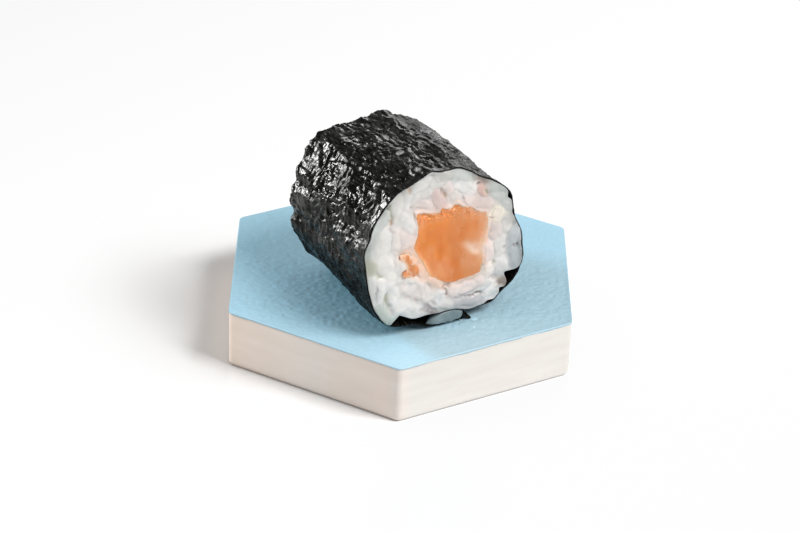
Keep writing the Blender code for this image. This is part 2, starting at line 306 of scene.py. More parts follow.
def signed_volume(points, faces):
    """Volume inside a closed surface: positive when its faces point out."""
    a, b, c = points[faces[:, 0]], points[faces[:, 1]], points[faces[:, 2]]
    total = np.einsum("ij,ij->", a, np.cross(b, c))
    if faces.shape[1] == 4:
        d = points[faces[:, 3]]
        total += np.einsum("ij,ij->", a, np.cross(c, d))
    return total / 6.0


def new_piece(name, points, faces, material, slot, *nodes):
    """A finished piece from points in metres and a list of faces or an array of them."""
    mesh = bpy.data.meshes.new(name)
    mesh.from_pydata(points.tolist(), [], faces if isinstance(faces, list) else faces.tolist())
    mesh.shade_smooth()
    mesh.materials.append(material)
    piece = add_object(name, mesh)
    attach(piece, "root")
    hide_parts(*nodes)
    print(name, "has", len(mesh.polygons), "faces")
    return piece


def merge_poles(piece, distance=0.00001 * MM):
    """Joins points that lie on each other, as where a ring of a grid has shrunk to a point."""
    mesh = piece.data
    work = bmesh.new()
    work.from_mesh(mesh)
    bmesh.ops.remove_doubles(work, verts=work.verts, dist=distance)
    work.to_mesh(mesh)
    work.free()


def closed_grid(name, points, material, slot, *nodes, close_rows=False):
    """A closed piece from a grid of points in metres, columns joined, faces pointing out."""
    flat = points.reshape(-1, 3)
    faces = grid_faces(*points.shape[:2], close_rows=close_rows, close_columns=True)
    if signed_volume(flat, faces) < 0.0:
        faces = faces[:, ::-1]
    piece = new_piece(name, flat, faces, material, slot, *nodes)
    merge_poles(piece)
    return piece


def paint_points(piece, colours):
    """Stores one colour for each point, as the attribute tint, for the material to read."""
    attribute = piece.data.attributes.new("tint", "FLOAT_COLOR", "POINT")
    opaque = np.ones((len(colours), 1))
    attribute.data.foreach_set("color", np.hstack([colours, opaque]).astype(np.float32).ravel())


print("a grid of 3 by 4 points has", len(grid_faces(3, 4)), "faces")

# %% Materials


def new_material(name, **finish):
    """A material with its shader's own sockets set; Base_Color stands for Base Color."""
    material = bpy.data.materials.new(name)
    material.use_nodes = True
    shader = material.node_tree.nodes["Principled BSDF"]
    for socket, value in finish.items():
        shader.inputs[socket.replace("_", " ")].default_value = value
    return material, shader


def add_node(shader, kind, inputs=None, **settings):
    """A node beside the shader; an input is a number, a colour or another node's output."""
    tree = shader.id_data
    node = tree.nodes.new("ShaderNode" + kind)
    for name, value in settings.items():
        setattr(node, name, value)
    for name, value in (inputs or {}).items():
        if isinstance(value, bpy.types.NodeSocket):
            tree.links.new(value, node.inputs[name])
        else:
            node.inputs[name].default_value = value
    return node


def plug(shader, socket, output):
    shader.id_data.links.new(output, shader.inputs[socket])


def speckle(shader, places, scale, detail=4.0, stretch=(1.0, 1.0, 1.0), roughness=0.55):
    """Noise on the given places, stretched first; scale is in cells for one of their units."""
    mapped = add_node(shader, "Mapping", {"Vector": places, "Scale": stretch})
    inputs = {"Vector": mapped.outputs[0], "Scale": scale, "Detail": detail, "Roughness": roughness}
    return add_node(shader, "TexNoise", inputs).outputs["Fac"]


def ramp(shader, factor, *stops):
    """A colour for each value of factor; stops are (position, colour) pairs in order."""
    node = add_node(shader, "ValToRGB", {"Fac": factor})
    band = node.color_ramp
    while len(band.elements) < len(stops):
        band.elements.new(0.5)
    for element, (position, colour) in zip(band.elements, stops):
        element.position = position
        element.color = (*colour, 1.0)
    return node.outputs["Color"]


def blend_colours(shader, factor, first, second, kind="MIX"):
    """Two colours blended by the factor; the mix node's colour sockets go by their numbers."""
    inputs = {0: factor, 6: first, 7: second}
    return add_node(shader, "Mix", inputs, data_type="RGBA", blend_type=kind).outputs[2]


def spread(shader, factor, low, high, from_low=0.3, from_high=0.7):
    """The factor's middle range, stretched over low to high."""
    limits = {"From Min": from_low, "From Max": from_high, "To Min": low, "To Max": high}
    return add_node(shader, "MapRange", {"Value": factor, **limits}).outputs[0]


def add_bump(shader, height, distance, strength=1.0, under=None):
    """Fine relief, distance metres high, over another bump if one is given."""
    inputs = {"Height": height, "Distance": distance, "Strength": strength}
    if under is not None:
        inputs["Normal"] = under
    return add_node(shader, "Bump", inputs).outputs[0]


def object_places(shader):
    return add_node(shader, "TexCoord").outputs["Object"]


def grey(value):
    """A colour, or a factor for colours, that is the same in red, green and blue."""
    return (value, value, value, 1.0)


def food_finish(name, clouds, dark, light, depth, **finish):
    """Food that light enters about depth deep: its points' tints times soft clouds.

    The clouds are noise with speckle's settings, between a dark and a light factor. They come
    back too, for the roughness and the relief.
    """
    material, shader = new_material(name, Subsurface_Weight=0.5, Subsurface_Scale=depth, **finish)
    noise = speckle(shader, object_places(shader), **clouds)
    tint = add_node(shader, "Attribute", attribute_name="tint").outputs["Color"]
    shade = blend_colours(shader, noise, dark, light)
    plug(shader, "Base Color", blend_colours(shader, 1.0, tint, shade, "MULTIPLY"))
    return material, shader, noise


print("materials so far:", [material.name for material in bpy.data.materials])

# %% [markdown]
# ## The board's outline
#
# The board is a regular hexagon with a corner towards the viewer and slightly rounded corners.
# It could be a six-sided cylinder with bevelled edges, but the block and its coat need the same
# outline at different levels, and the coat needs fine relief on top. So the outline is a
# function of the way round it, which both pieces use.

# %% Board outline
BOARD_ACROSS_CORNERS = 64.0
CORNER_ROUNDING = 1.3
FIRST_CORNER = -30.0
CORNER_SHARE = 0.034


def rounded_hexagon(way):
    """Points and outward normals on the outline; way runs from 0 to 6, a whole number a corner.

    A circle of the corner's radius rolls round a smaller hexagon: the first part of each side
    is the second half of an arc, then comes the straight run, then half of the next arc.
    """
    inner_side = BOARD_ACROSS_CORNERS / 2 - CORNER_ROUNDING / math.cos(math.pi / 6)
    half_arc = CORNER_ROUNDING * math.pi / 6
    side = np.floor(way)
    run = (way - side) * (inner_side + 2 * half_arc)
    leaving = np.minimum(run, half_arc) / CORNER_ROUNDING
    arriving = np.maximum(run - half_arc - inner_side, 0.0) / CORNER_ROUNDING
    share = np.clip((run - half_arc) / inner_side, 0.0, 1.0)
    here = np.radians(FIRST_CORNER + 60.0 * side)
    after = here + math.pi / 3
    facing = here + leaving + arriving
    normal = np.stack([np.cos(facing), np.sin(facing)], axis=-1)
    start = inner_side * np.stack([np.cos(here), np.sin(here)], axis=-1)
    end = inner_side * np.stack([np.cos(after), np.sin(after)], axis=-1)
    centre = start + share[..., None] * (end - start)
    return centre + CORNER_ROUNDING * normal, normal


def side_steps(straight, rounded):
    """Values of way round the outline: closer together at the corners than on the sides."""
    run = np.linspace(CORNER_SHARE, 1.0 - CORNER_SHARE, straight, endpoint=False)
    arc = np.linspace(-CORNER_SHARE, CORNER_SHARE, rounded, endpoint=False)
    one_side = np.concatenate([arc, run])
    return (np.arange(6)[:, None] + one_side).ravel() % 6.0


print("outline in mm:", np.abs(rounded_hexagon(side_steps(40, 8))[0]).max(axis=0).round(2))

# %% [markdown]
# ## The board's block
#
# The block is pale wood with a thin cream lacquer, so only a hint of grain shows at its sides.
# Its foot is rounded more than its top edge, where the blue coat ends. A profile, up one side
# from the middle of the underside to the middle of the top, is carried round the outline.

# %% Board block
BLOCK_TOP = 9.88
FOOT_ROUNDING = 0.8
SIDE_ROWS = 26
BLOCK_WAVES = ((0.03, (9.0, 9.0, 4.0), 31), (0.012, (3.0, 3.0, 0.9), 32))
WAVE_INSET = 0.03
LID_RING = 0.5


def block_profile():
    """Pairs of (inset from the outline, height): along the foot's quarter circle, then up."""
    turn = np.linspace(0.0, math.pi / 2, 7)
    foot_inset = FOOT_ROUNDING * (1.0 - np.sin(turn))
    foot_height = FOOT_ROUNDING * (1.0 - np.cos(turn))
    height = np.linspace(FOOT_ROUNDING, BLOCK_TOP, SIDE_ROWS)[1:]
    inset = np.concatenate([foot_inset, np.zeros_like(height)])
    return inset, np.concatenate([foot_height, height])


def block_points():
    """Outline less inset along its normal, and a faint waviness; the ends close in points."""
    outline, normal = rounded_hexagon(side_steps(72, 8))
    inset, height = block_profile()
    flat = outline[None] - inset[:, None, None] * normal[None]
    level = np.broadcast_to(height[:, None], flat.shape[:2])
    points = np.concatenate([flat, level[..., None]], axis=-1)
    wave = layered(uneven, points, BLOCK_WAVES) * smooth_step(height, 0.2, 1.0)[:, None]
    points[..., :2] += (wave - WAVE_INSET)[..., None] * normal[None]
    lid = points[-1:] * (LID_RING, LID_RING, 1.0)
    bottom = points[:1] * (0.0, 0.0, 0.0)
    middle = points[-1:] * (0.0, 0.0, 1.0)
    return np.concatenate([bottom, points, lid, middle]) * MM


def cream_wood():
    """Cream lacquer: faint grain along the board, a matt sheen, and painted light on its sides."""
    material, shader = new_material("cream lacquered wood", Specular_IOR_Level=0.35)
    places = object_places(shader)
    grain = speckle(shader, places, 260.0, 5.0, stretch=(0.3, 0.3, 2.4))
    clouds = speckle(shader, places, 90.0, 2.0)
    dark_grain = (0.745, 0.69, 0.625)
    light_grain = (0.795, 0.75, 0.70)
    pale = ramp(shader, grain, (0.25, dark_grain), (0.75, light_grain))
    warm = blend_colours(shader, clouds, (0.97, 0.95, 0.93, 1.0), grey(1.0))
    pale = blend_colours(shader, 1.0, pale, warm, "MULTIPLY")
    # Painted light: the left side is lighter and pinker, the right side a little darker and cooler.
    to_the_right = add_node(shader, "SeparateXYZ", {"Vector": places}).outputs["X"]
    side = spread(shader, to_the_right, 0.0, 1.0, -28 * MM, 28 * MM)
    pink = (1.22, 1.13, 1.085)
    rosy = (1.08, 1.085, 1.11)
    ruddy = (1.05, 1.0, 1.0)
    plain = (0.92, 0.965, 1.01)
    sides = ramp(shader, side, (0.0, pink), (0.25, rosy), (0.46, ruddy), (0.54, plain))
    plug(shader, "Base Color", blend_colours(shader, 1.0, pale, sides, "MULTIPLY"))
    plug(shader, "Roughness", spread(shader, clouds, 0.42, 0.6))
    plug(shader, "Normal", add_bump(shader, grain, 0.03 * MM, 0.5))
    return material


closed_grid("board_block", block_points(), cream_wood(), "board_block", "board")

# %% [markdown]
# ## The blue coat
#
# The top is painted a pale blue with a fine leather-like grain, and the paint ends in a crisp,
# slightly wavy line just under the top edge. The relief could be left to the material, but a
# real surface catches the light better, so the top is a mesh of small triangles: points on a
# triangular lattice, each moved to the same share of the rounded outline.

# %% Blue coat
COAT_STEPS = 160
COAT_EDGE = 0.14
COAT_PROUD = 0.03
COAT_HEIGHT = BOARD_TOP / MM
COAT_FLOOR = BLOCK_TOP + 0.01
PAINT_DEPTH = 0.30
PAINT_HOLLOW = 0.05
COAT_INSIDE = 0.002
COAT_TUCK = 0.004
LINE_LEVEL = 3.0
CALM_FRONT = (-28.0, -14.0)
CALM_BACK = (-6.0, 8.0)
PAINT_GRAIN = ((0.050, 0.62, 41), (0.040, 1.3, 42))
PAINT_LINE = ((0.10, 2.6, 44), (0.05, 0.9, 45))


def coat_lattice():
    """Lattice coordinates of a hexagon's points, and its triangles.

    Each point is q steps towards one corner plus r steps towards the next but 60 degrees on.
    Two triangles stand on every point, and those with a corner outside are dropped.
    """
    n = COAT_STEPS
    q, r = np.meshgrid(np.arange(-n, n + 1), np.arange(-n, n + 1), indexing="ij")
    within = np.abs(q + r) <= n
    number = np.full((2 * n + 3, 2 * n + 3), -1)
    number[:-2, :-2][within] = np.arange(within.sum())
    here, right = number[:-1, :-1], number[1:, :-1]
    up, both = number[:-1, 1:], number[1:, 1:]
    one = np.stack([here, right, up], axis=-1).reshape(-1, 3)
    other = np.stack([right, both, up], axis=-1).reshape(-1, 3)
    triangles = np.concatenate([one, other])
    return q[within], r[within], triangles[(triangles >= 0).all(axis=1)]


def coat_places(q, r):
    """Share of the way out, from 0 to 1, and the way round, from 0 to 6, of lattice points."""
    out = np.maximum.reduce([np.abs(q), np.abs(r), np.abs(q + r)])
    x = (q + r) * math.cos(math.pi / 6)
    y = (r - q) * 0.5
    angle = (np.arctan2(y, x) - math.radians(FIRST_CORNER)) % (2 * math.pi)
    side = np.floor(angle / (math.pi / 3) + 1e-9)
    rest = np.maximum(angle - side * math.pi / 3, 0.0)
    along = np.sin(rest) / (np.sin(rest) + np.sin(math.pi / 3 - rest))
    return out / COAT_STEPS, (side + along) % 6.0


def leather_relief(points):
    """Paint grain: two sizes of soft bumps, calmer at the front corner and at the back."""
    y = points[..., 1]
    calm = 0.45 + 0.55 * smooth_step(y, *CALM_FRONT) - 0.45 * smooth_step(y, *CALM_BACK)
    return calm * layered(uneven, points, PAINT_GRAIN) + 0.02 * uneven(points, 9.0, 43)


def coat_skirt(way):
    """Rings beyond the flat top: the quarter-round edge, the wavy lower rim, the inside."""
    outline, normal = rounded_hexagon(way)
    wave = np.column_stack([outline, np.full(len(way), LINE_LEVEL)])
    rim = COAT_HEIGHT - PAINT_DEPTH + layered(uneven, wave, PAINT_LINE)
    turn = np.linspace(0.0, math.pi / 2, 5)[1:]
    outset = COAT_PROUD - COAT_EDGE * (1.0 - np.sin(turn))
    height = COAT_HEIGHT - COAT_EDGE * (1.0 - np.cos(turn))
    rings = [*zip(outset, height), (COAT_PROUD, rim)]
    rings += [(COAT_INSIDE, rim + COAT_TUCK), (COAT_INSIDE, COAT_FLOOR)]
    return [
        np.column_stack([outline + out * normal, np.broadcast_to(level, len(way))])
        for out, level in rings
    ]


def blue_coat_mesh():
    """Top, skirt and underside as one closed surface."""
    q, r, triangles = coat_lattice()
    out, way = coat_places(q, r)
    outline, normal = rounded_hexagon(way)
    flat = (outline + (COAT_PROUD - COAT_EDGE) * normal) * out[:, None]
    top = np.column_stack([flat, np.full(len(flat), COAT_HEIGHT)])
    inner = smooth_step(1.0 - out, 0.0, 0.02)
    top[:, 2] += leather_relief(top) * inner - PAINT_HOLLOW * inner
    rim = np.flatnonzero(out == 1.0)
    rim = rim[np.argsort(way[rim])]
    skirt = coat_skirt(way[rim])
    points = np.concatenate([top, *skirt, [[0.0, 0.0, COAT_FLOOR]]])
    rings = [rim] + [len(top) + k * len(rim) + np.arange(len(rim)) for k in range(len(skirt))]
    faces = triangles.tolist()
    for upper, lower in zip(rings[:-1], rings[1:]):
        after_upper, after_lower = np.roll(upper, -1), np.roll(lower, -1)
        faces += np.stack([upper, lower, after_lower, after_upper], axis=1).tolist()
    last = rings[-1]
    centre = np.full(len(last), len(points) - 1)
    faces += np.stack([np.roll(last, -1), last, centre], axis=1).tolist()
    return points * MM, faces


def blue_paint():
    """Pale blue paint: fine mottling, painted light that pales it towards the front, a satin gloss.
    """
    material, shader = new_material("pale blue paint", Specular_IOR_Level=0.4)
    places = object_places(shader)
    mottle = speckle(shader, places, 1700.0, 3.0)
    clouds = speckle(shader, places, 120.0, 3.0)
    deep_blue = (0.385, 0.565, 0.650)
    light_blue = (0.435, 0.615, 0.700)
    front_lit_blue = (0.53, 0.68, 0.74, 1.0)
    blue = ramp(shader, mottle, (0.3, deep_blue), (0.7, light_blue))
    shade = blend_colours(shader, clouds, (0.95, 0.97, 0.98, 1.0), grey(1.03))
    blue = blend_colours(shader, 1.0, blue, shade, "MULTIPLY")
    # Painted light: the paint turns paler towards the front corner.
    to_the_back = add_node(shader, "SeparateXYZ", {"Vector": places}).outputs["Y"]
    painted_front_light = spread(shader, to_the_back, 0.5, 0.0, -30 * MM, -14 * MM)
    plug(shader, "Base Color", blend_colours(shader, painted_front_light, blue, front_lit_blue))
    plug(shader, "Roughness", spread(shader, clouds, 0.42, 0.55))
    plug(shader, "Normal", add_bump(shader, mottle, 0.05 * MM, 0.6))
    return material


coat_points, coat_faces = blue_coat_mesh()
coat = new_piece("blue_coat", coat_points, coat_faces, blue_paint(), "board_coat", "board_coat")

# %% [markdown]
# ## The form of the roll
#
# The nori, the rice and the salmon share one form: a round section with soft corners, a little
# lower at the back, with a hollow under the rice where the inner end of the sheet lies. The
# frame's solids were made from the same formulas, which stand here again, so every piece fits.
# Only small things are added or changed: the corners of the crumpled far end, the dents of the
# cut end, and the gaps at the rim of the rice.
# Sections are drawn as seen from the cut face, x to the right and z up from the roll's axis.

# %% Form of the roll
ROLL_LENGTH = 24.5
ROLL_TURN = math.radians(30.0)
FACE_X = 6.56
FACE_Y = -18.5
REST = 14.2
REST_GAP = 0.02
FRONT_RADIUS = 14.1
FRONT_CORNERS = ((330, 2.0, 26), (225, 1.5, 15), (60, -1.0, 17), (141, 0.8, 41))
BACK_RADIUS = 14.4
BACK_CORNERS = ((330, 1.5, 26), (135, 0.9, 20), (101, -0.3, 12))
FAR_END_CRUMPLE = (
    (60, -0.35, 12), (82, 0.65, 6), (95, -0.30, 5), (123, 0.60, 8), (153, 0.70, 4),
    (166, 0.40, 3.5), (186, -0.60, 5), (222, 0.40, 7),
)
CUT_END_DENTS = (
    (8, -0.75, 9), (18, -0.75, 12), (70, 0.25, 6), (91, -0.42, 7), (102.5, 0.40, 4),
    (126, 0.25, 5), (148, 0.22, 6), (161, -0.35, 4), (172, 0.25, 5), (199, 0.42, 9),
    (219, -0.25, 6), (246, -0.80, 13), (299, -0.40, 6), (308, 0.30, 5), (317, -0.42, 6),
)
BACK_SAG = 0.06
LUMPS = ((5, 4, 0.11), (9, -7, 0.11), (14, 11, 0.09))
HOLLOW_DEPTH = 2.1
HOLLOW_RISE = (230.4, 232.3)
HOLLOW_FALL = (281, 302)
HOLLOW_LEDGE = (246, 1.25, 9)
RIM_GAPS = (
    (328, 2.4, 4.2), (317.5, 0.7, 1.8), (30.5, 0.5, 2.6), (16.5, 0.2, 3), (350, 0.2, 4),
    (306.5, 0.5, 2.5),
)
RICE_CLEARANCE = 0.03
SHEET_THICKNESS = 0.16


def roll_radius(angle, depth):
    """Radius of the outside: front and back outlines blended by depth, 0 to 1, plus lumps."""
    front = FRONT_RADIUS + bumps(angle, FRONT_CORNERS)
    back = BACK_RADIUS + bumps(angle, BACK_CORNERS)
    turn = np.radians(angle)
    lumps = sum(size * np.sin(count * turn + drift * depth) for count, drift, size in LUMPS)
    crumple = bumps(angle, FAR_END_CRUMPLE) * smooth_step(depth, 0.4, 1.0)
    dents = bumps(angle, CUT_END_DENTS) * (1.0 - smooth_step(depth, 0.1, 0.8))
    return front + (back - front) * depth + lumps + (crumple + dents)


def hollow(angle):
    """How far the rice stands in from the outer layer along the bottom of the roll."""
    angle = np.asarray(angle) % 360.0
    depth = HOLLOW_DEPTH - corner_bump(angle, *HOLLOW_LEDGE)
    return depth * smooth_step(angle, *HOLLOW_RISE) * (1.0 - smooth_step(angle, *HOLLOW_FALL))


def rice_radius(angle, depth):
    """Radius of the rice: inside the sheet and its inner end, less the gaps at the rim."""
    gaps = bumps(angle, RIM_GAPS) * (1.0 - smooth_step(depth, 0.0, 0.25))
    return roll_radius(angle, depth) - SHEET_THICKNESS - RICE_CLEARANCE - hollow(angle) - gaps


def sag(height, depth):
    """The roll gets lower towards the back, and its underside stays on the board."""
    return -REST + (height + REST) * (1.0 - BACK_SAG * depth)


def sagged(points):
    """Points of the roll, each lowered by the sag at its depth."""
    x, y, z = np.moveaxis(points, -1, 0)
    return np.stack([x, y, sag(z, y / ROLL_LENGTH)], axis=-1)


def on_board(points):
    """Points of the roll, x and z in its section and y back along it, as points of the board."""
    x, y, z = np.moveaxis(points, -1, 0)
    east = FACE_X + x * math.cos(ROLL_TURN) - y * math.sin(ROLL_TURN)
    north = FACE_Y + x * math.sin(ROLL_TURN) + y * math.cos(ROLL_TURN)
    height = COAT_HEIGHT + REST + REST_GAP + z
    return np.stack([east, north, height], axis=-1) * MM


def from_axis(angle, radius):
    """x and z of the places at a radius from the roll's axis, at an angle in degrees."""
    turn = np.radians(angle)
    return radius * np.cos(turn), radius * np.sin(turn)


def in_section(x, z):
    """Places of the section as points, the third value 0, for unevenness."""
    return np.stack([x, z, np.zeros(x.shape)], axis=-1)


def distance_to_spines(x, z, rows):
    """Distance from each place to the nearest point of each row's spine, a straight segment."""
    x1, z1, x2, z2 = rows[:, 0], rows[:, 1], rows[:, 2], rows[:, 3]
    run_x, run_z = x2 - x1, z2 - z1
    share = (x[..., None] - x1) * run_x + (z[..., None] - z1) * run_z
    share = np.clip(share / (run_x**2 + run_z**2), 0.0, 1.0)
    return np.hypot(x[..., None] - x1 - share * run_x, z[..., None] - z1 - share * run_z)


print("radius of the cut face in mm:", roll_radius(np.arange(0, 360, 45), 0.0).round(1))

# %% [markdown]
# ## The nori
#
# Nori is a paper-thin sheet of pressed seaweed. Damp from the rice, it clings to the grains
# under it and crinkles: blistered on the left, drawn into folds along the roll on top. A plain
# cylinder with a bump map would show its smooth edge at once, so the crinkles are real. The
# sheet is one spiral surface, a function of the angle and of the way back along the roll, and
# a Solidify modifier gives it its thickness.

# %% Nori shape
NORI_END = 291.6
SHEET_STRETCHES = ((-111.0, 12), (-75.0, 380), (245.0, 14), (283.0, 11))
SHEET_STEPS_ALONG = 117
ROUND_RADIUS = 14.3
TIP_FOLD = (287.6, 1.25, 1.2)
TIP_DROOP = 0.7
TIP_LENGTH = 9.0
DENTS = ((0.28, (5.5, 7.0, 1.0), 51), (0.18, (2.6, 3.4, 1.0), 52))
BLISTERS = ((0.20, (1.7, 1.1, 1.0), 53), (0.17, (0.9, 0.6, 1.0), 54), (0.08, (0.5, 0.45, 1.0), 59))
FOLDS = ((0.30, (1.4, 6.0, 1.0), 55), (0.17, (0.75, 2.6, 1.0), 56), (0.09, (0.45, 1.6, 1.0), 60))
CUT_WAVES = ((0.07, (2.0, 60.0, 1.0), 63), (0.03, (0.6, 60.0, 1.0), 64))
CRINKLED = ((148.0, 1.0, 36.0), (80.0, 1.0, 44.0), (208.0, 1.0, 30.0))
CREASE_WANDER = 0.8
FAR_LIFT = 0.20
CUT_LIFT = 0.06


def sheet_angles():
    """Angles from end to end of the sheet, farther apart where it is hidden or lies flat."""
    starts, steps = zip(*SHEET_STRETCHES)
    ends = starts[1:] + (NORI_END,)
    parts = [np.linspace(a, b, n, endpoint=False) for a, b, n in zip(starts, ends, steps)]
    return np.append(np.concatenate(parts), NORI_END)


def sheet_places(angle, along):
    """The sheet laid flat: the way round and the way back, in mm."""
    way_round = np.radians(angle) * ROUND_RADIUS
    return np.stack(np.broadcast_arrays(way_round, along, 0.0), axis=-1)


def crinkled(flat):
    """The flat sheet's places, each shifted to and fro, so that creases wander."""
    shift = in_section(uneven(flat, 2.2, 65), uneven(flat, 2.2, 66))
    return flat + CREASE_WANDER * shift


def nori_relief(angle, along):
    """Height of the crinkles in mm: dents over the grains, blisters, folds and threads.

    The blisters are strongest on the left, the folds on top and the threads at the lower left,
    by bell curves of the angle. The relief dies out where the sheet lies inside or on the
    board. At both rims its valleys are turned into ridges, so that it stays above the rice.
    """
    flat = sheet_places(angle, along)
    bent = crinkled(flat)
    left, top, low = (corner_bump(angle, *stretch) for stretch in CRINKLED)
    threads = 0.13 * creased(bent, (2.8, 0.9, 1.0), 57) + 0.05 * uneven(flat, (2.0, 0.6, 1.0), 58)
    relief = layered(uneven, flat, DENTS) + (0.30 + left) * layered(creased, bent, BLISTERS)
    relief = relief + top * layered(creased, bent, FOLDS) + low * threads
    rim = 0.35 + 0.65 * smooth_step(along, 0.0, 2.5)
    free = smooth_step(angle, -75.0, -40.0) * (1.0 - smooth_step(angle, 236.0, 252.0))
    relief = relief * rim * (0.06 + 0.94 * free)
    far = smooth_step(along, 0.8 * ROLL_LENGTH, 0.96 * ROLL_LENGTH)
    relief = relief + far * (np.abs(relief) - FAR_LIFT - relief)
    near = 1.0 - smooth_step(along, 0.0, 2.5)
    return relief + near * (np.abs(relief) - CUT_LIFT - relief)


def nori_points():
    """Outside of the sheet: the roll's radius, less the hollow at the inner end, plus relief.

    The outer end droops and has one sharp fold. Both rims are ragged, the far one more.
    """
    angle = sheet_angles()[:, None]
    depth = np.linspace(0.0, 1.0, SHEET_STEPS_ALONG + 1)[None, :]
    along = depth * ROLL_LENGTH
    inner_end = np.where(angle < 0.0, hollow(angle), 0.0)
    droop = TIP_DROOP * smooth_step(angle, NORI_END - TIP_LENGTH, NORI_END)
    fold_at, fold_height, fold_width = TIP_FOLD
    fold = fold_height * bell(angle - fold_at, fold_width)
    radius = roll_radius(angle, depth) - inner_end + droop - fold + nori_relief(angle, along)
    x, z = from_axis(angle, radius)
    z = np.maximum(sag(z, depth), -REST)
    flat = sheet_places(angle, along)
    near_back = smooth_step(depth, 0.86, 1.0)
    near_front = 1.0 - smooth_step(depth, 0.0, 0.1)
    torn = 0.50 + 0.40 * uneven(flat, (3.2, 60.0, 1.0), 61)
    torn = torn + 0.25 * creased(flat, (1.2, 60.0, 1.0), 62)
    cut = 0.08 + layered(uneven, flat, CUT_WAVES)
    y = along + near_back * torn + near_front * cut
    return on_board(np.stack(np.broadcast_arrays(x, y, z), axis=-1)), flat


print("crinkles in mm, on top and left:", nori_relief(np.array([80.0, 148.0]), 12.0).round(2))

# %% Nori finish


def nori_finish():
    """Green-black seaweed: hairs on the sheet's own places, wet and glossy in patches.

    It is wet on the left, duller on top, and hardly mirrors the board beneath. The hairs along
    the roll are a matter of colour, partly the fibres' own and partly painted sheen. The relief
    stays wider than about 0.4 mm, since finer relief would blur the glints to grey.
    """
    material, shader = new_material("nori", IOR=1.4)
    places = add_node(shader, "UVMap", uv_map="sheet").outputs[0]
    fibres = speckle(shader, places, 0.9, 2.0, stretch=(1.0, 0.45, 1.0), roughness=0.5)
    crumbs = speckle(shader, places, 1.4, 1.0, stretch=(0.5, 1.0, 1.0))
    patches = speckle(shader, places, 0.20, 2.0)
    hairs = speckle(shader, places, 3.0, 2.0, stretch=(1.0, 0.16, 1.0))
    black = (0.001, 0.0011, 0.0009)
    green_black = (0.005, 0.0053, 0.0042)
    grey_green = (0.030, 0.030, 0.026)
    # The hairs' grey-green is partly the fibres' own colour and partly painted sheen.
    dark = ramp(shader, hairs, (0.36, black), (0.50, green_black), (0.66, grey_green))
    plug(shader, "Base Color", dark)
    way_round = add_node(shader, "SeparateXYZ", {"Vector": places}).outputs["X"]
    on_top = spread(shader, way_round, 0.19, 0.0, 20.0, 28.0)
    wet = spread(shader, patches, 0.17, 0.34, 0.38, 0.62)
    plug(shader, "Roughness", add_node(shader, "Math", {0: wet, 1: on_top}).outputs[0])
    plug(shader, "Specular IOR Level", spread(shader, way_round, 0.5, 0.08, 42.0, 50.0))
    rough = add_bump(shader, fibres, 0.22 * MM, 1.0)
    plug(shader, "Normal", add_bump(shader, crumbs, 0.16 * MM, 1.0, rough))
    return material


outside, sheet_flat = nori_points()
sheet_flat = sheet_flat.reshape(-1, 3)
sheet_faces = grid_faces(*outside.shape[:2])[:, ::-1]
nori = new_piece("nori_sheet", outside.reshape(-1, 3), sheet_faces, nori_finish(), "nori", "nori")
sheet_map = nori.data.uv_layers.new(name="sheet")
corner_points = sheet_flat[sheet_faces.ravel(), :2]
sheet_map.data.foreach_set("uv", corner_points.astype(np.float32).ravel())
wall = nori.modifiers.new("thickness", "SOLIDIFY")
wall.thickness = SHEET_THICKNESS * MM
wall.offset = -1.0
print("sheet in mm:", np.ptp(sheet_flat, axis=0).round(1)[:2])

# %% [markdown]
# Black things show their form by their glints alone, so a photographer gives them lights of
# their own. Two lamps shine on nothing but the nori: one behind on the left, whose mirror image
# lies on the blisters, and a weak one behind, which skims over the folds on top. The fill light
# leaves the nori out, and the floor, where it would thin the shadow, and its cooler twin shines
# on the blue coat alone. Of the two key lights, one shines on the floor and one on the rest.

# %% Nori lights
glints = soft_light("glints", azimuth=159, elevation=15, distance=0.6, size=0.20, power=4.2)
skim = soft_light("skim", azimuth=80, elevation=18, distance=0.7, size=0.25, power=1.15)
link_light(glints, "INCLUDE", nori)
link_light(skim, "INCLUDE", nori)
link_light(key, "EXCLUDE", studio_paper)
link_light(floor_key, "INCLUDE", studio_paper)
link_light(fill, "EXCLUDE", studio_paper, nori, coat)
link_light(cool_fill, "INCLUDE", coat)
print("nori lights:", glints.name, skim.name)

# %% [markdown]
# ## The salmon
#
# The salmon is a strip of raw fillet that runs through the roll, cut across with it. Its upper
# edge is torn in flakes, and a pale seam of fat opens to the right. The outline is drawn by
# its corners, softened, and roughened where it is torn. Rings of that outline, shrunk towards
# the middle, make each cut face, so that the face can have its own relief.

# %% Salmon outline
SALMON_CORNERS = (
    (-5.5, 7.5), (-4.1, 7.5), (-3.6, 7.25), (-2.7, 6.95), (-1.2, 6.75), (-0.8, 7.6), (-0.1, 7.2),
    (1.0, 7.05), (1.5, 7.8), (2.1, 7.7), (3.0, 7.0), (3.9, 6.4), (4.7, 6.5), (5.3, 5.9), (6.5, 5.1),
    (7.4, 4.8), (7.5, 4.3), (7.9, 3.6), (7.8, 2.0), (7.4, 0.4), (7.0, -0.9), (7.1, -2.3),
    (7.2, -4.4), (6.7, -5.9), (5.0, -6.2), (1.9, -6.5), (0.6, -6.3), (-0.9, -5.6), (-2.3, -4.6),
    (-3.2, -3.0), (-4.1, -1.4), (-4.9, 0.0), (-5.6, 1.3), (-5.5, 2.4), (-5.1, 3.4), (-5.0, 5.0),
    (-5.3, 6.1),
)
SALMON_BLUR = 0.16
SHRED_CORNERS = (
    (-8.1, 0.5), (-6.8, 0.8), (-5.6, -0.5), (-4.6, -2.3), (-4.1, -3.7), (-6.0, -4.0),
    (-7.5, -3.3), (-7.0, -2.4), (-7.7, -1.5), (-8.2, -0.4),
)
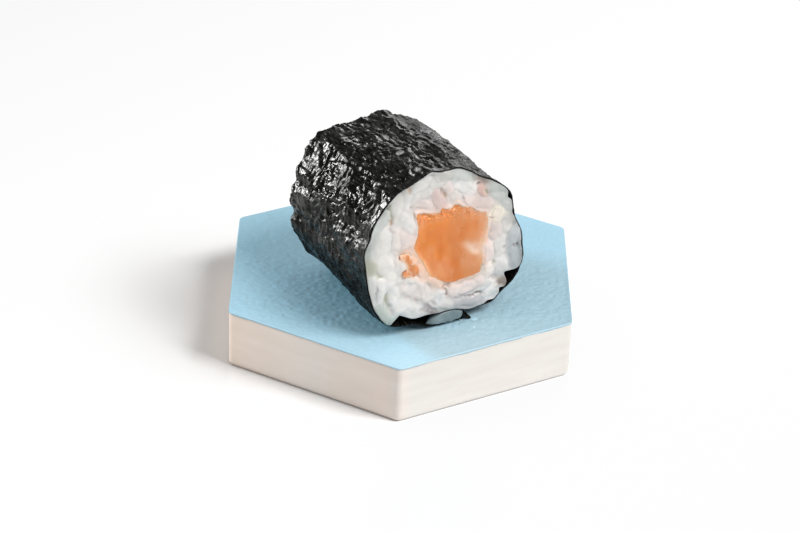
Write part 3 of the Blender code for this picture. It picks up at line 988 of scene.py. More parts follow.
SHRED_SPINES = np.array([
    (-7.5, 0.1, -6.7, 0.0, 0.55), (-6.8, -0.2, -5.9, -1.5, 0.70), (-5.9, -1.6, -4.8, -3.1, 0.85),
    (-5.9, -2.1, -5.5, -3.1, 0.85), (-6.9, -2.9, -5.4, -3.4, 0.55),
])
FILLING_TWIST = math.radians(9.0)
FILLING_SETBACK = 0.04
SHRED_SETBACK = 0.05
AROUND = 360


def softened(corners, blur):
    """Even steps round the corners, each point averaged with its neighbours over blur mm."""
    outline = np.array(corners + corners[:1], dtype=float)
    step = np.linalg.norm(np.diff(outline, axis=0), axis=1)
    way = np.concatenate([[0.0], np.cumsum(step)])
    even = np.linspace(0.0, way[-1], AROUND, endpoint=False)
    x = np.interp(even, way, outline[:, 0])
    z = np.interp(even, way, outline[:, 1])
    apart = np.minimum(even, way[-1] - even)
    weight = bell(apart, blur)
    spectrum = np.fft.rfft(weight / weight.sum())
    x = np.fft.irfft(np.fft.rfft(x) * spectrum, AROUND)
    z = np.fft.irfft(np.fft.rfft(z) * spectrum, AROUND)
    return np.stack([x, z], axis=1)


def turned(outline, middle, depth):
    """The outline turned about its middle: a filling twists a little towards the back."""
    turn = FILLING_TWIST * depth
    spin = np.array([[math.cos(turn), math.sin(turn)], [-math.sin(turn), math.cos(turn)]])
    return (outline - middle) @ spin + middle


def filling_reach(angle, depth):
    """How far the salmon reaches from the axis in each direction, at a depth."""
    outline = softened(SALMON_CORNERS, SALMON_BLUR)
    x, z = turned(outline, outline.mean(axis=0), depth).T
    turn = np.degrees(np.arctan2(z, x)) % 360.0
    order = np.argsort(turn)
    return np.interp(angle, turn[order], np.hypot(x, z)[order], period=360.0)


def beyond_salmon(x, z, depth=0.0):
    """Distance outside the salmon's outline along the ray from the axis, and the ray's angle."""
    angle = np.degrees(np.arctan2(z, x)) % 360.0
    return np.hypot(x, z) - filling_reach(angle, depth), angle


print("slice in mm:", np.ptp(softened(SALMON_CORNERS, SALMON_BLUR), axis=0).round(1))

# %% Salmon shape
FACE_RINGS = 64
SIDE_RINGS = 30
SLICE_ROUNDING = 0.04
SWELLS = ((0.16, 4.2, 71), (0.05, 1.4, 72))
FLAKES = ((0.26, (1.3, 3.0, 0.9), 73), (0.12, (0.5, 2.0, 0.45), 74))
TATTERS = ((0.30, (0.8, 6.0, 0.8), 75), (0.14, (0.35, 6.0, 0.35), 76))


def filling_sections(outline, middle, setback, rounding, rings=FACE_RINGS):
    """Grid of (x, y, z) through a filling: front face from its middle out, side, back face.

    Share runs from 0 in the middle of a face to 1 at its edge, and depth from front to back.
    The last stretch of each face bends back by a quarter circle of the rounding's radius.
    """
    share = np.sin(np.linspace(0.0, math.pi / 2, rings))
    reach = np.abs(outline - middle).mean()
    edge = np.clip((share - 1.0) * reach / rounding + 1.0, 0.0, 1.0)
    drop = rounding * (1.0 - np.sqrt(1.0 - edge**2))
    y_front = setback + drop
    y_side = np.linspace(y_front[-1], ROLL_LENGTH - y_front[-1], SIDE_RINGS)[1:-1]
    shares = np.concatenate([share, np.ones(len(y_side)), share[::-1]])
    y = np.concatenate([y_front, y_side, (ROLL_LENGTH - y_front)[::-1]])
    flat = np.stack([turned(outline, middle, depth) for depth in y / ROLL_LENGTH])
    flat = middle + (flat - middle) * shares[:, None, None]
    level = np.broadcast_to(y[:, None], flat.shape[:2])
    return np.stack([flat[..., 0], level, flat[..., 1]], axis=-1), shares


def seam_of_fat(x, z):
    """Nearness, 0 to 1, to the pale field that widens from the middle to the right edge."""
    along = smooth_step(x, 2.4, 6.2)
    centre = 0.4 - 2.05 * along + 0.30 * uneven(in_section(x, z), 1.5, 82)
    return bell(z - centre, 0.65 + 0.40 * along) * smooth_step(x, 2.0, 5.6)


def flake_relief(points, shares):
    """Relief of the cut face: flakes near the torn edge, and elsewhere swells that end flush."""
    x, z = points[..., 0], points[..., 2]
    swell = layered(uneven, points, SWELLS)
    inside = 1.0 - smooth_step(shares[:, None], 0.85, 0.99)
    torn = smooth_step(z, 3.6, 6.6) * smooth_step(shares[:, None], 0.55, 0.95)
    flakes = (0.4 + 0.6 * inside) * torn * layered(creased, points, FLAKES)
    return inside * (swell - 0.10 * seam_of_fat(x, z)) + flakes


def salmon_points():
    """The slice: its sections, ragged at the edge, with relief on both faces, and the sag."""
    outline = softened(SALMON_CORNERS, SALMON_BLUR)
    middle = outline.mean(axis=0)
    points, shares = filling_sections(outline, middle, FILLING_SETBACK, SLICE_ROUNDING)
    outwards = points[..., [0, 2]] - middle
    outwards /= np.maximum(np.linalg.norm(outwards, axis=-1, keepdims=True), 1e-6)
    upper = smooth_step(points[..., 2], 3.5, 6.2)
    ragged = (0.40 + 0.60 * upper) * smooth_step(shares[:, None], 0.7, 1.0)
    ragged = layered(uneven, points, TATTERS) * ragged
    points[..., [0, 2]] += ragged[..., None] * outwards
    depth = points[..., 1] / ROLL_LENGTH
    ends = 1.0 - 2.0 * smooth_step(depth, 0.1, 0.9)
    on_face = (shares < 0.999)[:, None] | (np.abs(ends) > 0.97)
    points[..., 1] -= np.where(on_face, ends * flake_relief(points, shares), 0.0)
    points[..., 2] = sag(points[..., 2], depth)
    return points


print("fat at the right edge:", seam_of_fat(np.array([6.5]), np.array([-1.6])).round(2))

# %% Salmon finish


def salmon_finish():
    """Raw salmon: orange flesh that lets light in, streaky, moist, with fine pores."""
    material, shader, streaks = food_finish(
        "salmon flesh", dict(scale=420.0, stretch=(1.0, 1.0, 0.7)), (0.95, 0.91, 0.88, 1.0),
        (1.05, 1.07, 1.1, 1.0), 0.5 * MM, Subsurface_Radius=(1.6, 0.55, 0.28),
        Specular_IOR_Level=0.45, Coat_Weight=0.12, Coat_Roughness=0.15,
    )
    plug(shader, "Roughness", spread(shader, streaks, 0.22, 0.42))
    pores = speckle(shader, object_places(shader), 2400.0, 2.0)
    moist = add_bump(shader, pores, 0.05 * MM, 0.8)
    plug(shader, "Normal", add_bump(shader, streaks, 0.10 * MM, 0.6, moist))
    return material


slice_points = on_board(salmon_points())
slice_piece = closed_grid("salmon_slice", slice_points, salmon_finish(), "salmon", "salmon")

# %% [markdown]
# Flesh isn't one orange: there are deeper streaks, fat, and edges that fade into the rice. Such
# broad shades follow the section, so they are stored as a colour for each point. The points at
# a grid's poles were merged, so the colours are worked out from the finished mesh.

# %% Salmon tints
ORANGE = np.array((0.68, 0.232, 0.034))
DULL_ORANGE = np.array((0.605, 0.240, 0.068))
DEEP_ORANGE = np.array((0.61, 0.178, 0.024))
FAT = np.array((0.75, 0.54, 0.42))
FADED_ORANGE = np.array((0.80, 0.47, 0.26))
CLOUDS = ((1.0, (2.4, 3.0, 3.2), 77), (0.5, (0.8, 3.0, 1.5), 81))


def section_places(piece):
    """The finished piece's points, back in the roll's section without the sag: x, y, z in mm."""
    places = np.empty(len(piece.data.vertices) * 3, dtype=np.float32)
    piece.data.vertices.foreach_get("co", places)
    east, north, height = (places.reshape(-1, 3).astype(float) / MM).T
    east = east - FACE_X
    north = north - FACE_Y
    x = east * math.cos(ROLL_TURN) + north * math.sin(ROLL_TURN)
    y = north * math.cos(ROLL_TURN) - east * math.sin(ROLL_TURN)
    above_board = height - COAT_HEIGHT - REST_GAP
    return np.stack([x, y, above_board / (1.0 - BACK_SAG * y / ROLL_LENGTH) - REST], axis=-1)


def towards(tint, colour, share):
    """The tints, moved towards a colour by each point's share."""
    return tint + np.clip(share, 0.0, 1.0)[..., None] * (colour - tint)


def pale_edges(points):
    """How far points fade: to faded orange at the lower left, to fat on the right and above."""
    x, z = points[..., 0], points[..., 2]
    front, angle = beyond_salmon(x, z)
    back = beyond_salmon(x, z, 1.0)[0]
    beyond = np.where(points[..., 1] < ROLL_LENGTH / 2, front, back)
    low_left = corner_bump(angle, 212.0, 0.9, 40.0) * bell(beyond, 0.55)
    right = corner_bump(angle, 5.0, 0.55, 36.0) * bell(beyond, 1.1)
    flecks = smooth_step(creased(points, (0.6, 2.0, 0.9), 84), 0.1, 0.45) * smooth_step(z, 4.0, 6.0)
    above = 0.9 * flecks * bell(beyond, 0.8)
    return low_left, right + above + 0.10 * bell(beyond, 0.3)


def salmon_tints(points):
    """Orange, duller to the right, with a deep streak, soft clouds, the fat and pale edges."""
    x, z = points[..., 0], points[..., 2]
    clouds = layered(uneven, points, CLOUDS)
    streak = bell(x + 0.6 + 0.15 * z, 0.9) * (1.0 - smooth_step(np.abs(z), 2.0, 4.0))
    tint = towards(ORANGE, DULL_ORANGE, smooth_step(x + 0.9 * clouds, -0.5, 2.5))
    low = 0.7 * smooth_step(-z, 0.8, 2.6) * (1.0 - smooth_step(x, 2.0, 4.5))
    tint = towards(tint, DEEP_ORANGE, 0.5 * streak + 0.7 * clouds + low)
    tint = towards(tint, FAT, 0.9 * seam_of_fat(x, z) - 0.15 * clouds)
    low_left, others = pale_edges(points)
    return towards(towards(tint, FAT, others), FADED_ORANGE, low_left)


slice_tints = salmon_tints(section_places(slice_piece))
paint_points(slice_piece, slice_tints)
print("mean salmon tint:", slice_tints.mean(axis=0).round(2))

# %% [markdown]
# The shred is a thin strip of the same fish that was rolled in beside the slice. The slice's
# functions make it too, with fewer rings and a rounder edge, as it is too small for flakes. Its
# tints pale towards its edge, so that it seems to melt into the rice.

# %% Salmon shred
SHRED_BLUR = 0.22
SHRED_ROUNDING = 0.3
SHRED_RINGS = 14


def shred_points():
    """The shred: its sections, ragged and shifted all round, and uneven on both faces."""
    outline = softened(SHRED_CORNERS, SHRED_BLUR)
    middle = outline.mean(axis=0)
    points, shares = filling_sections(
        outline, middle, SHRED_SETBACK, SHRED_ROUNDING, rings=SHRED_RINGS
    )
    ragged = 0.30 * uneven(points, (0.7, 5.0, 0.7), 78) * smooth_step(shares[:, None], 0.5, 1.0)
    points[..., 0] += ragged
    points[..., 2] += 0.6 * np.roll(ragged, 17, axis=1)
    points[..., 1] += 0.18 * uneven(points, (0.9, 3.0, 0.9), 79) * (shares < 0.999)[:, None]
    return points


def shred_finish():
    """The slice's flesh, paler and softer, so that it seems to melt into the rice."""
    material, shader, clouds = food_finish(
        "salmon shred", dict(scale=700.0, detail=3.0), grey(0.92), grey(1.05), 0.4 * MM,
        Subsurface_Radius=(1.6, 0.8, 0.6), Roughness=0.35, Coat_Weight=0.12,
    )
    plug(shader, "Normal", add_bump(shader, clouds, 0.05 * MM, 0.5))
    return material


shred_places = on_board(sagged(shred_points()))
shred = closed_grid("salmon_shred", shred_places, shred_finish(), "salmon", "salmon_scrap")


def shred_tints(points):
    """The shred is a streaky orange, and pales to peach and to the rice's white round it."""
    away = distance_to_spines(points[..., 0], points[..., 2], SHRED_SPINES)
    near = (away - SHRED_SPINES[:, 4] * 0.45).min(axis=-1)
    near = near + 0.30 * uneven(points, (0.45, 3.0, 1.0), 83)
    orange, peach, white = np.array([(0.69, 0.27, 0.08), (0.78, 0.53, 0.38), (0.70, 0.66, 0.61)])
    tint = towards(orange, peach, 1.2 * smooth_step(near, -0.2, 0.55))
    return towards(tint, white, smooth_step(near, 0.3, 0.9))


paint_points(shred, shred_tints(section_places(shred)))

# %% [markdown]
# ## The grains in the cut face
#
# The cut face is what one looks at, so its grains aren't left to chance. Each row below is one
# grain as it lies in the section: the two ends of its spine, its width, its tint and how far it
# is sunk. Pinkish grains touch the fish; grey and green ones let the nori show through and, like
# the brown and sunk ones, hold painted shade as well. The crevices between them are rows of the
# same kind, with a depth and a tint of painted shade.

# %% Grains one by one
TINTS = {
    "white": (0.685, 0.665, 0.635),
    "bright": (0.72, 0.705, 0.685),
    "warm": (0.73, 0.68, 0.645),
    "rosy": (0.70, 0.62, 0.59),
    "dim rose": (0.63, 0.555, 0.525),
    "pink": (0.62, 0.50, 0.475),
    "flesh": (0.60, 0.42, 0.375),
    "peach": (0.78, 0.51, 0.37),
    "pale peach": (0.76, 0.59, 0.50),
    "dusky": (0.46, 0.41, 0.40),
    "grey": (0.55, 0.565, 0.545),
    "slate": (0.49, 0.52, 0.535),
    "mauve": (0.52, 0.505, 0.515),
    "cream": (0.70, 0.655, 0.57),
    "brown": (0.27, 0.22, 0.19),
    "umber": (0.36, 0.30, 0.26),
    "olive": (0.50, 0.50, 0.36),
    "pale shade": (0.52, 0.48, 0.47),
    "green shade": (0.46, 0.47, 0.38),
    "jade": (0.49, 0.53, 0.495),
    "warm shade": (0.48, 0.36, 0.28),
}
FACE_GRAINS = (
    (-13.4, 1.7, -12.6, 5.2, 2.3, "grey", 0.3),
    (-12.1, 6.4, -11.0, 8.8, 2.2, "grey", 0.1),
    (-8.9, 10.8, -8.7, 7.3, 2.4, "white", 0.25),
    (-6.9, 11.0, -6.7, 9.0, 1.7, "bright", 0.1),
    (-6.2, 11.9, -3.9, 12.9, 2.4, "bright", 0.0),
    (-5.8, 9.9, -3.6, 11.0, 2.5, "white", 0.25),
    (-2.3, 10.4, -1.1, 8.2, 1.9, "pink", 0.15),
    (-5.2, 9.2, -3.2, 8.5, 1.7, "rosy", 0.0),
    (-7.8, 7.3, -6.5, 5.2, 2.2, "bright", 0.1),
    (-7.2, 4.4, -6.4, 2.4, 2.4, "rosy", 0.15),
    (-10.9, 5.2, -10.7, 2.9, 2.5, "white", 0.0),
    (-9.2, 4.8, -8.8, 2.7, 1.9, "warm", 0.1),
    (-12.6, 1.3, -10.6, 1.5, 1.5, "white", 0.25),
    (-11.0, 0.6, -9.4, -2.6, 2.6, "white", 0.0),
    (-13.3, 0.7, -12.9, -1.1, 2.0, "green shade", 0.2),
    (-13.0, -2.2, -12.6, -6.6, 1.8, "bright", 0.1),
    (-11.6, -3.0, -11.4, -7.0, 1.6, "bright", 0.05),
    (-11.5, -8.6, -9.9, -10.6, 2.5, "jade", -0.1),
    (-9.5, -4.4, -9.0, -7.8, 2.3, "bright", 0.1),
    (-7.8, -8.8, -4.6, -10.5, 2.7, "bright", 0.0),
    (-7.0, -5.6, -4.6, -7.1, 2.5, "warm", 0.05),
    (-8.7, -1.4, -8.3, -3.9, 1.8, "white", 0.15),
    (-6.8, -4.6, -5.3, -4.8, 1.6, "white", 0.2),
    (-4.1, -5.8, -2.9, -8.2, 2.1, "warm", -0.05),
    (-0.7, -7.9, -0.6, -8.9, 2.2, "bright", 0.1),
    (-2.9, -10.2, -1.6, -10.8, 1.8, "dusky", 0.5),
    (-0.4, -10.0, 1.3, -10.7, 2.1, "bright", 0.1),
    (2.0, -8.1, 6.8, -7.8, 2.3, "rosy", 0.0),
    (2.9, -10.6, 6.8, -10.9, 1.9, "mauve", 0.15),
    (7.1, -8.8, 8.5, -8.0, 1.8, "bright", -0.1),
    (8.7, -10.4, 9.9, -9.9, 2.6, "bright", 0.0),
    (10.3, -4.6, 10.9, -6.6, 2.6, "bright", 0.05),
    (8.4, -5.2, 8.8, -7.0, 1.9, "warm", -0.1),
    (13.0, -3.6, 13.8, -6.1, 2.0, "slate", 0.2),
    (12.7, 0.5, 13.1, -1.6, 2.1, "slate", 0.0),
    (10.3, -1.2, 10.4, -3.2, 2.3, "white", 0.1),
    (8.3, -1.2, 8.3, -3.4, 1.9, "rosy", 0.0),
    (8.9, 2.2, 9.6, 0.3, 2.0, "rosy", 0.2),
    (11.3, 3.1, 11.8, 1.1, 2.2, "white", 0.0),
    (9.9, 4.8, 9.6, 3.2, 1.9, "cream", -0.1),
    (10.9, 5.6, 11.7, 5.0, 1.9, "grey", -0.1),
    (9.0, 7.7, 10.2, 6.8, 2.0, "grey", 0.1),
    (8.7, 9.2, 10.0, 8.5, 1.8, "grey", 0.0),
    (5.6, 7.2, 7.7, 6.3, 2.1, "dim rose", 0.0),
    (6.2, 9.3, 6.8, 8.4, 1.6, "flesh", 0.1),
    (5.2, 11.4, 7.2, 10.5, 1.7, "brown", 0.6),
    (1.5, 12.8, 3.4, 12.0, 2.1, "grey", -0.1),
    (2.3, 10.9, 4.5, 9.7, 2.5, "bright", 0.0),
    (1.2, 9.2, 2.8, 8.8, 1.6, "warm", 0.0),
    (3.9, 8.0, 4.7, 7.5, 1.8, "rosy", 0.2),
    (-1.6, 13.0, 0.6, 13.0, 1.9, "white", 0.1),
    (-0.2, 11.2, 0.5, 10.2, 1.9, "rosy", 0.15),
    (-2.8, 12.1, -1.0, 11.8, 1.7, "white", 0.15),
    (7.8, -4.7, 7.6, -6.1, 1.3, "cream", 0.2),
    (7.9, 0.8, 7.8, -0.4, 1.1, "peach", 0.2),
    (7.5, -3.2, 7.6, -4.6, 1.2, "peach", 0.2),
    (10.9, -8.7, 12.2, -9.6, 1.5, "umber", 0.15),
    (-6.1, 2.0, -5.9, 0.6, 1.3, "rosy", 0.15),
    (-6.2, 0.7, -5.3, -1.5, 1.5, "peach", 0.0),
    (-4.8, -1.9, -3.6, -4.3, 1.6, "pale peach", -0.05),
    (-3.3, -4.9, -0.4, -6.3, 1.5, "pale peach", -0.05),
    (-8.0, -0.5, -7.4, -1.9, 1.2, "warm", 0.1),
    (5.6, -6.5, 3.4, -6.7, 1.0, "pale peach", 0.2),
)
# Each crevice's tint is painted shade, and each has a real depth too.
CREVICES = (
    (-10.1, 9.9, -10.05, 8.1, 0.42, "green shade", 0.20),
    (-10.1, 7.4, -9.95, 6.7, 0.32, "warm shade", 0.25),
    (-9.7, 6.0, -9.3, 5.1, 0.30, "dusky", 0.12),
    (-7.05, 13.1, -7.0, 11.7, 0.36, "warm shade", 0.30),
    (-6.3, 8.7, -6.2, 8.5, 0.24, "dusky", 0.15),
    (-1.1, 10.8, -0.6, 10.0, 0.18, "warm shade", 0.25),
    (-0.6, 10.0, -0.35, 9.2, 0.18, "warm shade", 0.15),
    (3.1, 8.9, 3.15, 8.3, 0.24, "dusky", 0.12),
    (5.7, 10.15, 6.1, 10.05, 0.30, "brown", 0.40),
    (5.5, 11.6, 6.9, 10.8, 0.65, "umber", 0.30),
    (7.15, 8.9, 7.4, 8.4, 0.26, "olive", 0.30),
    (8.2, 3.85, 8.8, 3.35, 0.20, "warm shade", 0.20),
    (8.1, 0.8, 9.2, -0.6, 0.24, "pale shade", 0.10),
    (9.3, -4.5, 9.4, -4.7, 0.24, "green shade", 0.15),
    (11.4, -2.9, 11.5, -3.0, 0.28, "pale shade", 0.20),
    (13.0, -2.6, 13.1, -2.9, 0.22, "dusky", 0.30),
    (10.8, -8.8, 12.3, -9.7, 0.75, "brown", 0.15),
    (9.0, -7.6, 9.8, -7.8, 0.40, "pale shade", 0.25),
    (2.2, -9.4, 4.5, -9.8, 0.26, "pale shade", 0.15),
    (4.5, -9.9, 6.3, -9.75, 0.18, "dusky", 0.25),
    (6.4, -9.6, 7.5, -10.05, 0.24, "brown", 0.35),
    (0.5, -6.6, 1.3, -6.6, 0.50, "warm shade", 0.25),
    (0.7, -7.3, 0.7, -8.4, 0.16, "warm shade", 0.30),
    (-3.0, -5.9, -2.3, -6.7, 0.40, "dim rose", 0.12),
    (-6.4, -7.2, -6.1, -7.3, 0.30, "pink", 0.08),
    (-5.2, -8.0, -4.8, -8.2, 0.35, "pink", 0.08),
    (-3.2, -10.3, -2.0, -10.8, 0.60, "dusky", 0.25),
    (-1.7, -9.1, -1.2, -9.7, 0.40, "pale shade", 0.15),
    (-10.5, -6.1, -10.2, -8.0, 0.50, "green shade", 0.30),
    (-10.2, -8.3, -9.0, -9.4, 0.45, "pale shade", 0.15),
    (-11.95, -1.8, -11.75, -2.2, 0.26, "green shade", 0.20),
)


def rows_and_colours(rows):
    """Number columns (ends, width, depth) and the tint's colour of each row."""
    numbers = np.array([row[:5] + row[6:] for row in rows], dtype=float)
    return numbers, np.array([TINTS[row[5]] for row in rows])


def brightness(rows, seed):
    """Sunk grains are dimmer by painted shade, and each grain is a little brighter or dimmer than
    its tint.
    """
    own = np.random.default_rng(seed).uniform(0.93, 1.05, (len(rows), 1))
    return own * (1.0 - 0.3 * rows[:, 5:6])


front_rows, front_colours = rows_and_colours(FACE_GRAINS)
front_colours = front_colours * brightness(front_rows, 5)
crevice_rows, crevice_colours = rows_and_colours(CREVICES)
print("grains by hand:", len(front_rows), "crevices:", len(crevice_rows))

# %% [markdown]
# ## The grains of the back
#
# The back face follows the same habits without being placed grain by grain. Thousands of
# places are tried with a seeded random draw, and a grain is kept where it clears the fillings,
# the rim and the grains that lie there already.

# %% Grains by chance
GRAIN_LENGTHS = (6.4, 3.4)
GRAIN_WIDTHS = (1.9, 2.6)
GRAIN_TRIES = 5000
GRAIN_APART = 1.35
GRAIN_TIP = 0.42
RIM_GRAINS = 0.4
FILLING_CLEARANCE = 0.1
COARSE_BLUR = 0.3


def spine(x, z, turn, reach):
    """Five points along a grain's middle, for keeping its neighbours away."""
    steps = reach * np.linspace(-1.0, 1.0, 5)
    return np.stack([x + steps * math.cos(turn), z + steps * math.sin(turn)], axis=1)


def grain_to_try(length, width, depth, rng):
    """A random place and direction; two grains in five lie along the rim."""
    angle = rng.uniform(0.0, 360.0)
    farthest = float(rice_radius(angle, depth)) - width / 2
    radius = farthest * math.sqrt(rng.uniform(0.0, 1.0))
    turn = rng.uniform(0.0, math.pi)
    if rng.uniform() < RIM_GRAINS:
        radius = farthest
        turn = math.radians(angle + 90.0 + rng.normal(0.0, 16.0))
    return spine(*from_axis(angle, radius), turn, length / 2 - GRAIN_TIP * width)


def scatter_grains(depth, rng):
    """Rows like the listed ones, longest first, each where it has room."""
    fillings = [softened(corners, COARSE_BLUR) for corners in (SALMON_CORNERS, SHRED_CORNERS)]
    edges = np.concatenate([turned(edge, edge.mean(axis=0), depth) for edge in fillings])
    centre = edges[:AROUND].mean(axis=0)
    reach_in = np.linalg.norm(edges[:AROUND] - centre, axis=1)
    taken = np.empty((0, 2))
    rows = []
    for length in np.linspace(*GRAIN_LENGTHS, GRAIN_TRIES):
        width = rng.uniform(*GRAIN_WIDTHS)
        line = grain_to_try(length, width, depth, rng)
        away = np.linalg.norm(line[:, None] - edges, axis=2)
        outline_reach = reach_in[away[:, :AROUND].argmin(axis=1)]
        in_salmon = np.linalg.norm(line - centre, axis=1) < outline_reach
        limit = rice_radius(np.degrees(np.arctan2(line[:, 1], line[:, 0])), depth)
        crowded = np.linalg.norm(line[:, None] - taken, axis=2).min(initial=99.0) < GRAIN_APART
        outside = (np.hypot(*line.T) + width * 0.4 > limit).any()
        on_filling = away.min() < width / 2 + FILLING_CLEARANCE or in_salmon.any()
        if on_filling or crowded or outside:
            continue
        taken = np.concatenate([taken, line])
        rows.append((*line[0], *line[-1], width, rng.uniform(0.0, 0.35)))
    return np.array(rows)


def chance_colours(rows, rng):
    """White with a slight spread of brightness, rosier beside the salmon."""
    outline = softened(SALMON_CORNERS, COARSE_BLUR)
    middle = (rows[:, 0:2] + rows[:, 2:4]) / 2
    away = np.linalg.norm(middle[:, None] - outline, axis=2).min(axis=1)
    near = 1.0 - smooth_step(away, 1.2, 3.2)
    white, rosy = np.array(TINTS["white"]), np.array(TINTS["rosy"])
    colours = white + near[:, None] * 0.8 * (rosy - white)
    return colours * rng.uniform(0.90, 1.05, (len(rows), 1))


rng = np.random.default_rng(7)
back_rows = scatter_grains(1.0, rng)
back_colours = chance_colours(back_rows, rng)
print("grains by chance:", len(back_rows))

# %% [markdown]
# ## The packed rice
#
# Cooked rice is sticky, and pressed in a roll its grains melt into each other, so that only
# soft edges show. Loose ovals alone look like pebbles. So the core, the mass of rice between
# salmon and nori, gets cut faces of its own: a smooth surface over all grains, a hair below
# their tops, which closes the gaps. Its humps come from the same rows as the grains.

# %% Packed surface
SOFTNESS = 0.05
TINT_SOFTNESS = 0.06
HUMP = 0.175
CORE_BELOW_GRAINS = 0.02
PACKED_LIMIT = 0.40
SEAM_WIDTH = 0.08
SEAM_SHADE = 0.13
RIM_SHADE = 0.30
RIM_SHADE_REACH = 1.25
RIM_LIT = ((243, 0.8, 12), (308, 0.7, 12))
GLOW_SHARE = 0.36
GLOW_REACH = 0.7
LOW_LEFT_GLOW = (208.0, 0.85, 26.0)
LOW_LEFT_REACH = 1.2
SHRED_GLOW_SHARE = 0.75
SHRED_GLOW_REACH = 0.65
MOST_GLOW = 0.9
CREVICE_WANDER = 1.6
GRAIN_SEAT = 0.30
GRAIN_SWELL = 1.06
GRAIN_FLATNESS = 0.92
PRESS_FROM = 0.15
PRESS_TO = 0.30
BLUNTNESS = 2.5
WANDER_X = ((0.24, 1.4, 96), (0.08, 0.5, 97))
WANDER_Z = ((0.24, 1.4, 98), (0.08, 0.5, 99))
RICE_LUMPS = ((0.13, 1.9, 91), (0.05, 0.8, 92), (0.02, 0.35, 93))


def squeezed(y):
    """What would stand out of the cut face is pressed back to a share of its height."""
    return y + np.maximum(PRESS_FROM - y, 0.0) * (1.0 - PRESS_TO)


def wander(x, z):
    """A shift to and fro in x and z, so that no grain's outline is a perfect oval."""
    flat = in_section(x, z)
    return layered(uneven, flat, WANDER_X), layered(uneven, flat, WANDER_Z)


def wandered(places):
    """Places of plain ovals moved to where the core sees them; three rounds settle it."""
    moved = places
    for _ in range(3):
        moved = places - np.stack(wander(moved[..., 0], moved[..., 1]), axis=-1)
    return moved


def rice_lumps(x, z):
    """Low unevenness that the core and its grains share."""
    return layered(uneven, in_section(x, z), RICE_LUMPS)


def packed_surface(x, z, rows, colours):
    """Depth behind the cut face, and tint, of the rice at places of the section.

    A grain is a low hump over its spine, the distance to the power of its bluntness. The humps
    are joined by a soft minimum, less the logarithm of the sum of their exponentials. The tints
    are mixed with such weights too, but softer ones, because light wanders from grain to grain.
    Where the two foremost humps are level a seam of painted shade darkens the tint, here more and
    there less.
    """
    near = distance_to_spines(x, z, rows) / (rows[:, 4] / 2)
    hump = np.minimum(near, 1.0) ** BLUNTNESS + 0.9 * np.maximum(near - 1.0, 0.0)
    top = squeezed(rows[:, 5] + (GRAIN_SEAT - GRAIN_FLATNESS / 2 * GRAIN_SWELL) * rows[:, 4])
    level = top + HUMP * hump * rows[:, 4] / 2
    share = np.exp(-level / TINT_SOFTNESS)
    tint = (share @ colours) / share.sum(axis=-1, keepdims=True)
    depth = -SOFTNESS * np.log(np.exp(-level / SOFTNESS).sum(axis=-1))
    first, second = np.moveaxis(np.partition(level, 1, axis=-1)[..., :2], -1, 0)
    # Painted shade along the seams between grains.
    seam = bell(second - first, SEAM_WIDTH)
    seam = seam * np.clip(0.35 + 1.3 * uneven(in_section(x, z), 2.3, 94), 0.0, 1.0)
    return np.minimum(depth, PACKED_LIMIT), tint * (1.0 - SEAM_SHADE * seam[..., None])


def crevices(x, z):
    """Extra depth of the crevices, and how much of each one's tint, a painted shade, a place takes.

    The crevices wander more than the grains, and their painted shade comes and goes.
    """
    shift_x, shift_z = wander(x, z)
    x_there, z_there = x + CREVICE_WANDER * shift_x, z + CREVICE_WANDER * shift_z
    share = bell(distance_to_spines(x_there, z_there, crevice_rows), crevice_rows[:, 4])
    depth = (share * crevice_rows[:, 5]).max(axis=-1)
    crevice_shade = share.max(axis=-1) * (0.85 + 0.6 * uneven(in_section(x, z), 0.6, 100))
    return depth, np.clip(crevice_shade, 0.0, 1.0), crevice_colours[share.argmax(axis=-1)]


def beside_fish_and_nori(x, z, tint, depth):
    """Rice takes the colour of the fish beside it, and is darker where the nori lies behind.

    The glow is widest at the lower left. The shade at the rim comes and goes, and two bright
    grains at the bottom have little of it.
    """
    beyond, angle = beyond_salmon(x, z, depth)
    beyond = np.maximum(beyond, 0.0)
    glow = GLOW_SHARE * np.exp(-beyond / GLOW_REACH)
    glow = glow + corner_bump(angle, *LOW_LEFT_GLOW) * bell(beyond, LOW_LEFT_REACH)
    if depth == 0.0:
        shred = distance_to_spines(x, z, SHRED_SPINES).min(axis=-1)
        glow = np.maximum(glow, SHRED_GLOW_SHARE * bell(shred, SHRED_GLOW_REACH))
    tint = towards(tint, np.array(TINTS["peach"]), np.clip(glow, 0.0, MOST_GLOW))
    inside = np.maximum(rice_radius(angle, depth) - np.hypot(x, z), 0.0)
    patchy = np.clip(0.75 + 0.8 * uneven(in_section(x, z), 2.4, 101), 0.1, 1.2)
    patchy = (1.0 - bumps(angle, RIM_LIT)) * patchy
    shade = RIM_SHADE * patchy * bell(inside, RIM_SHADE_REACH)
    return tint * (1.0 - shade[..., None] * np.array((1.0, 0.95, 1.0)))


print("lumps at two places in mm:", rice_lumps(np.array([0.0, 10.0]), np.zeros(2)).round(2))

# %% Rice core
CORE_AROUND = 410
FACE_STEPS = 62
WALL_STEPS = 12
WALL_CLEARANCE = 0.09
UNDER_FILLING = 0.45
UNDER_SLOPE = 0.5
FLUSH_LEVEL = 0.06
FLUSH_REACH = (0.1, 0.8)
RIM_LEVEL = 0.04
STEP_FROM = 229.0
STEP_TO = 235.0
STEP_COLUMNS = 40


def room_for_shred(x, z):
    """The rice gives way where the shred lies in it."""
    near = bell(distance_to_spines(x, z, SHRED_SPINES), SHRED_SPINES[:, 4])
    return 0.5 * near.max(axis=-1)


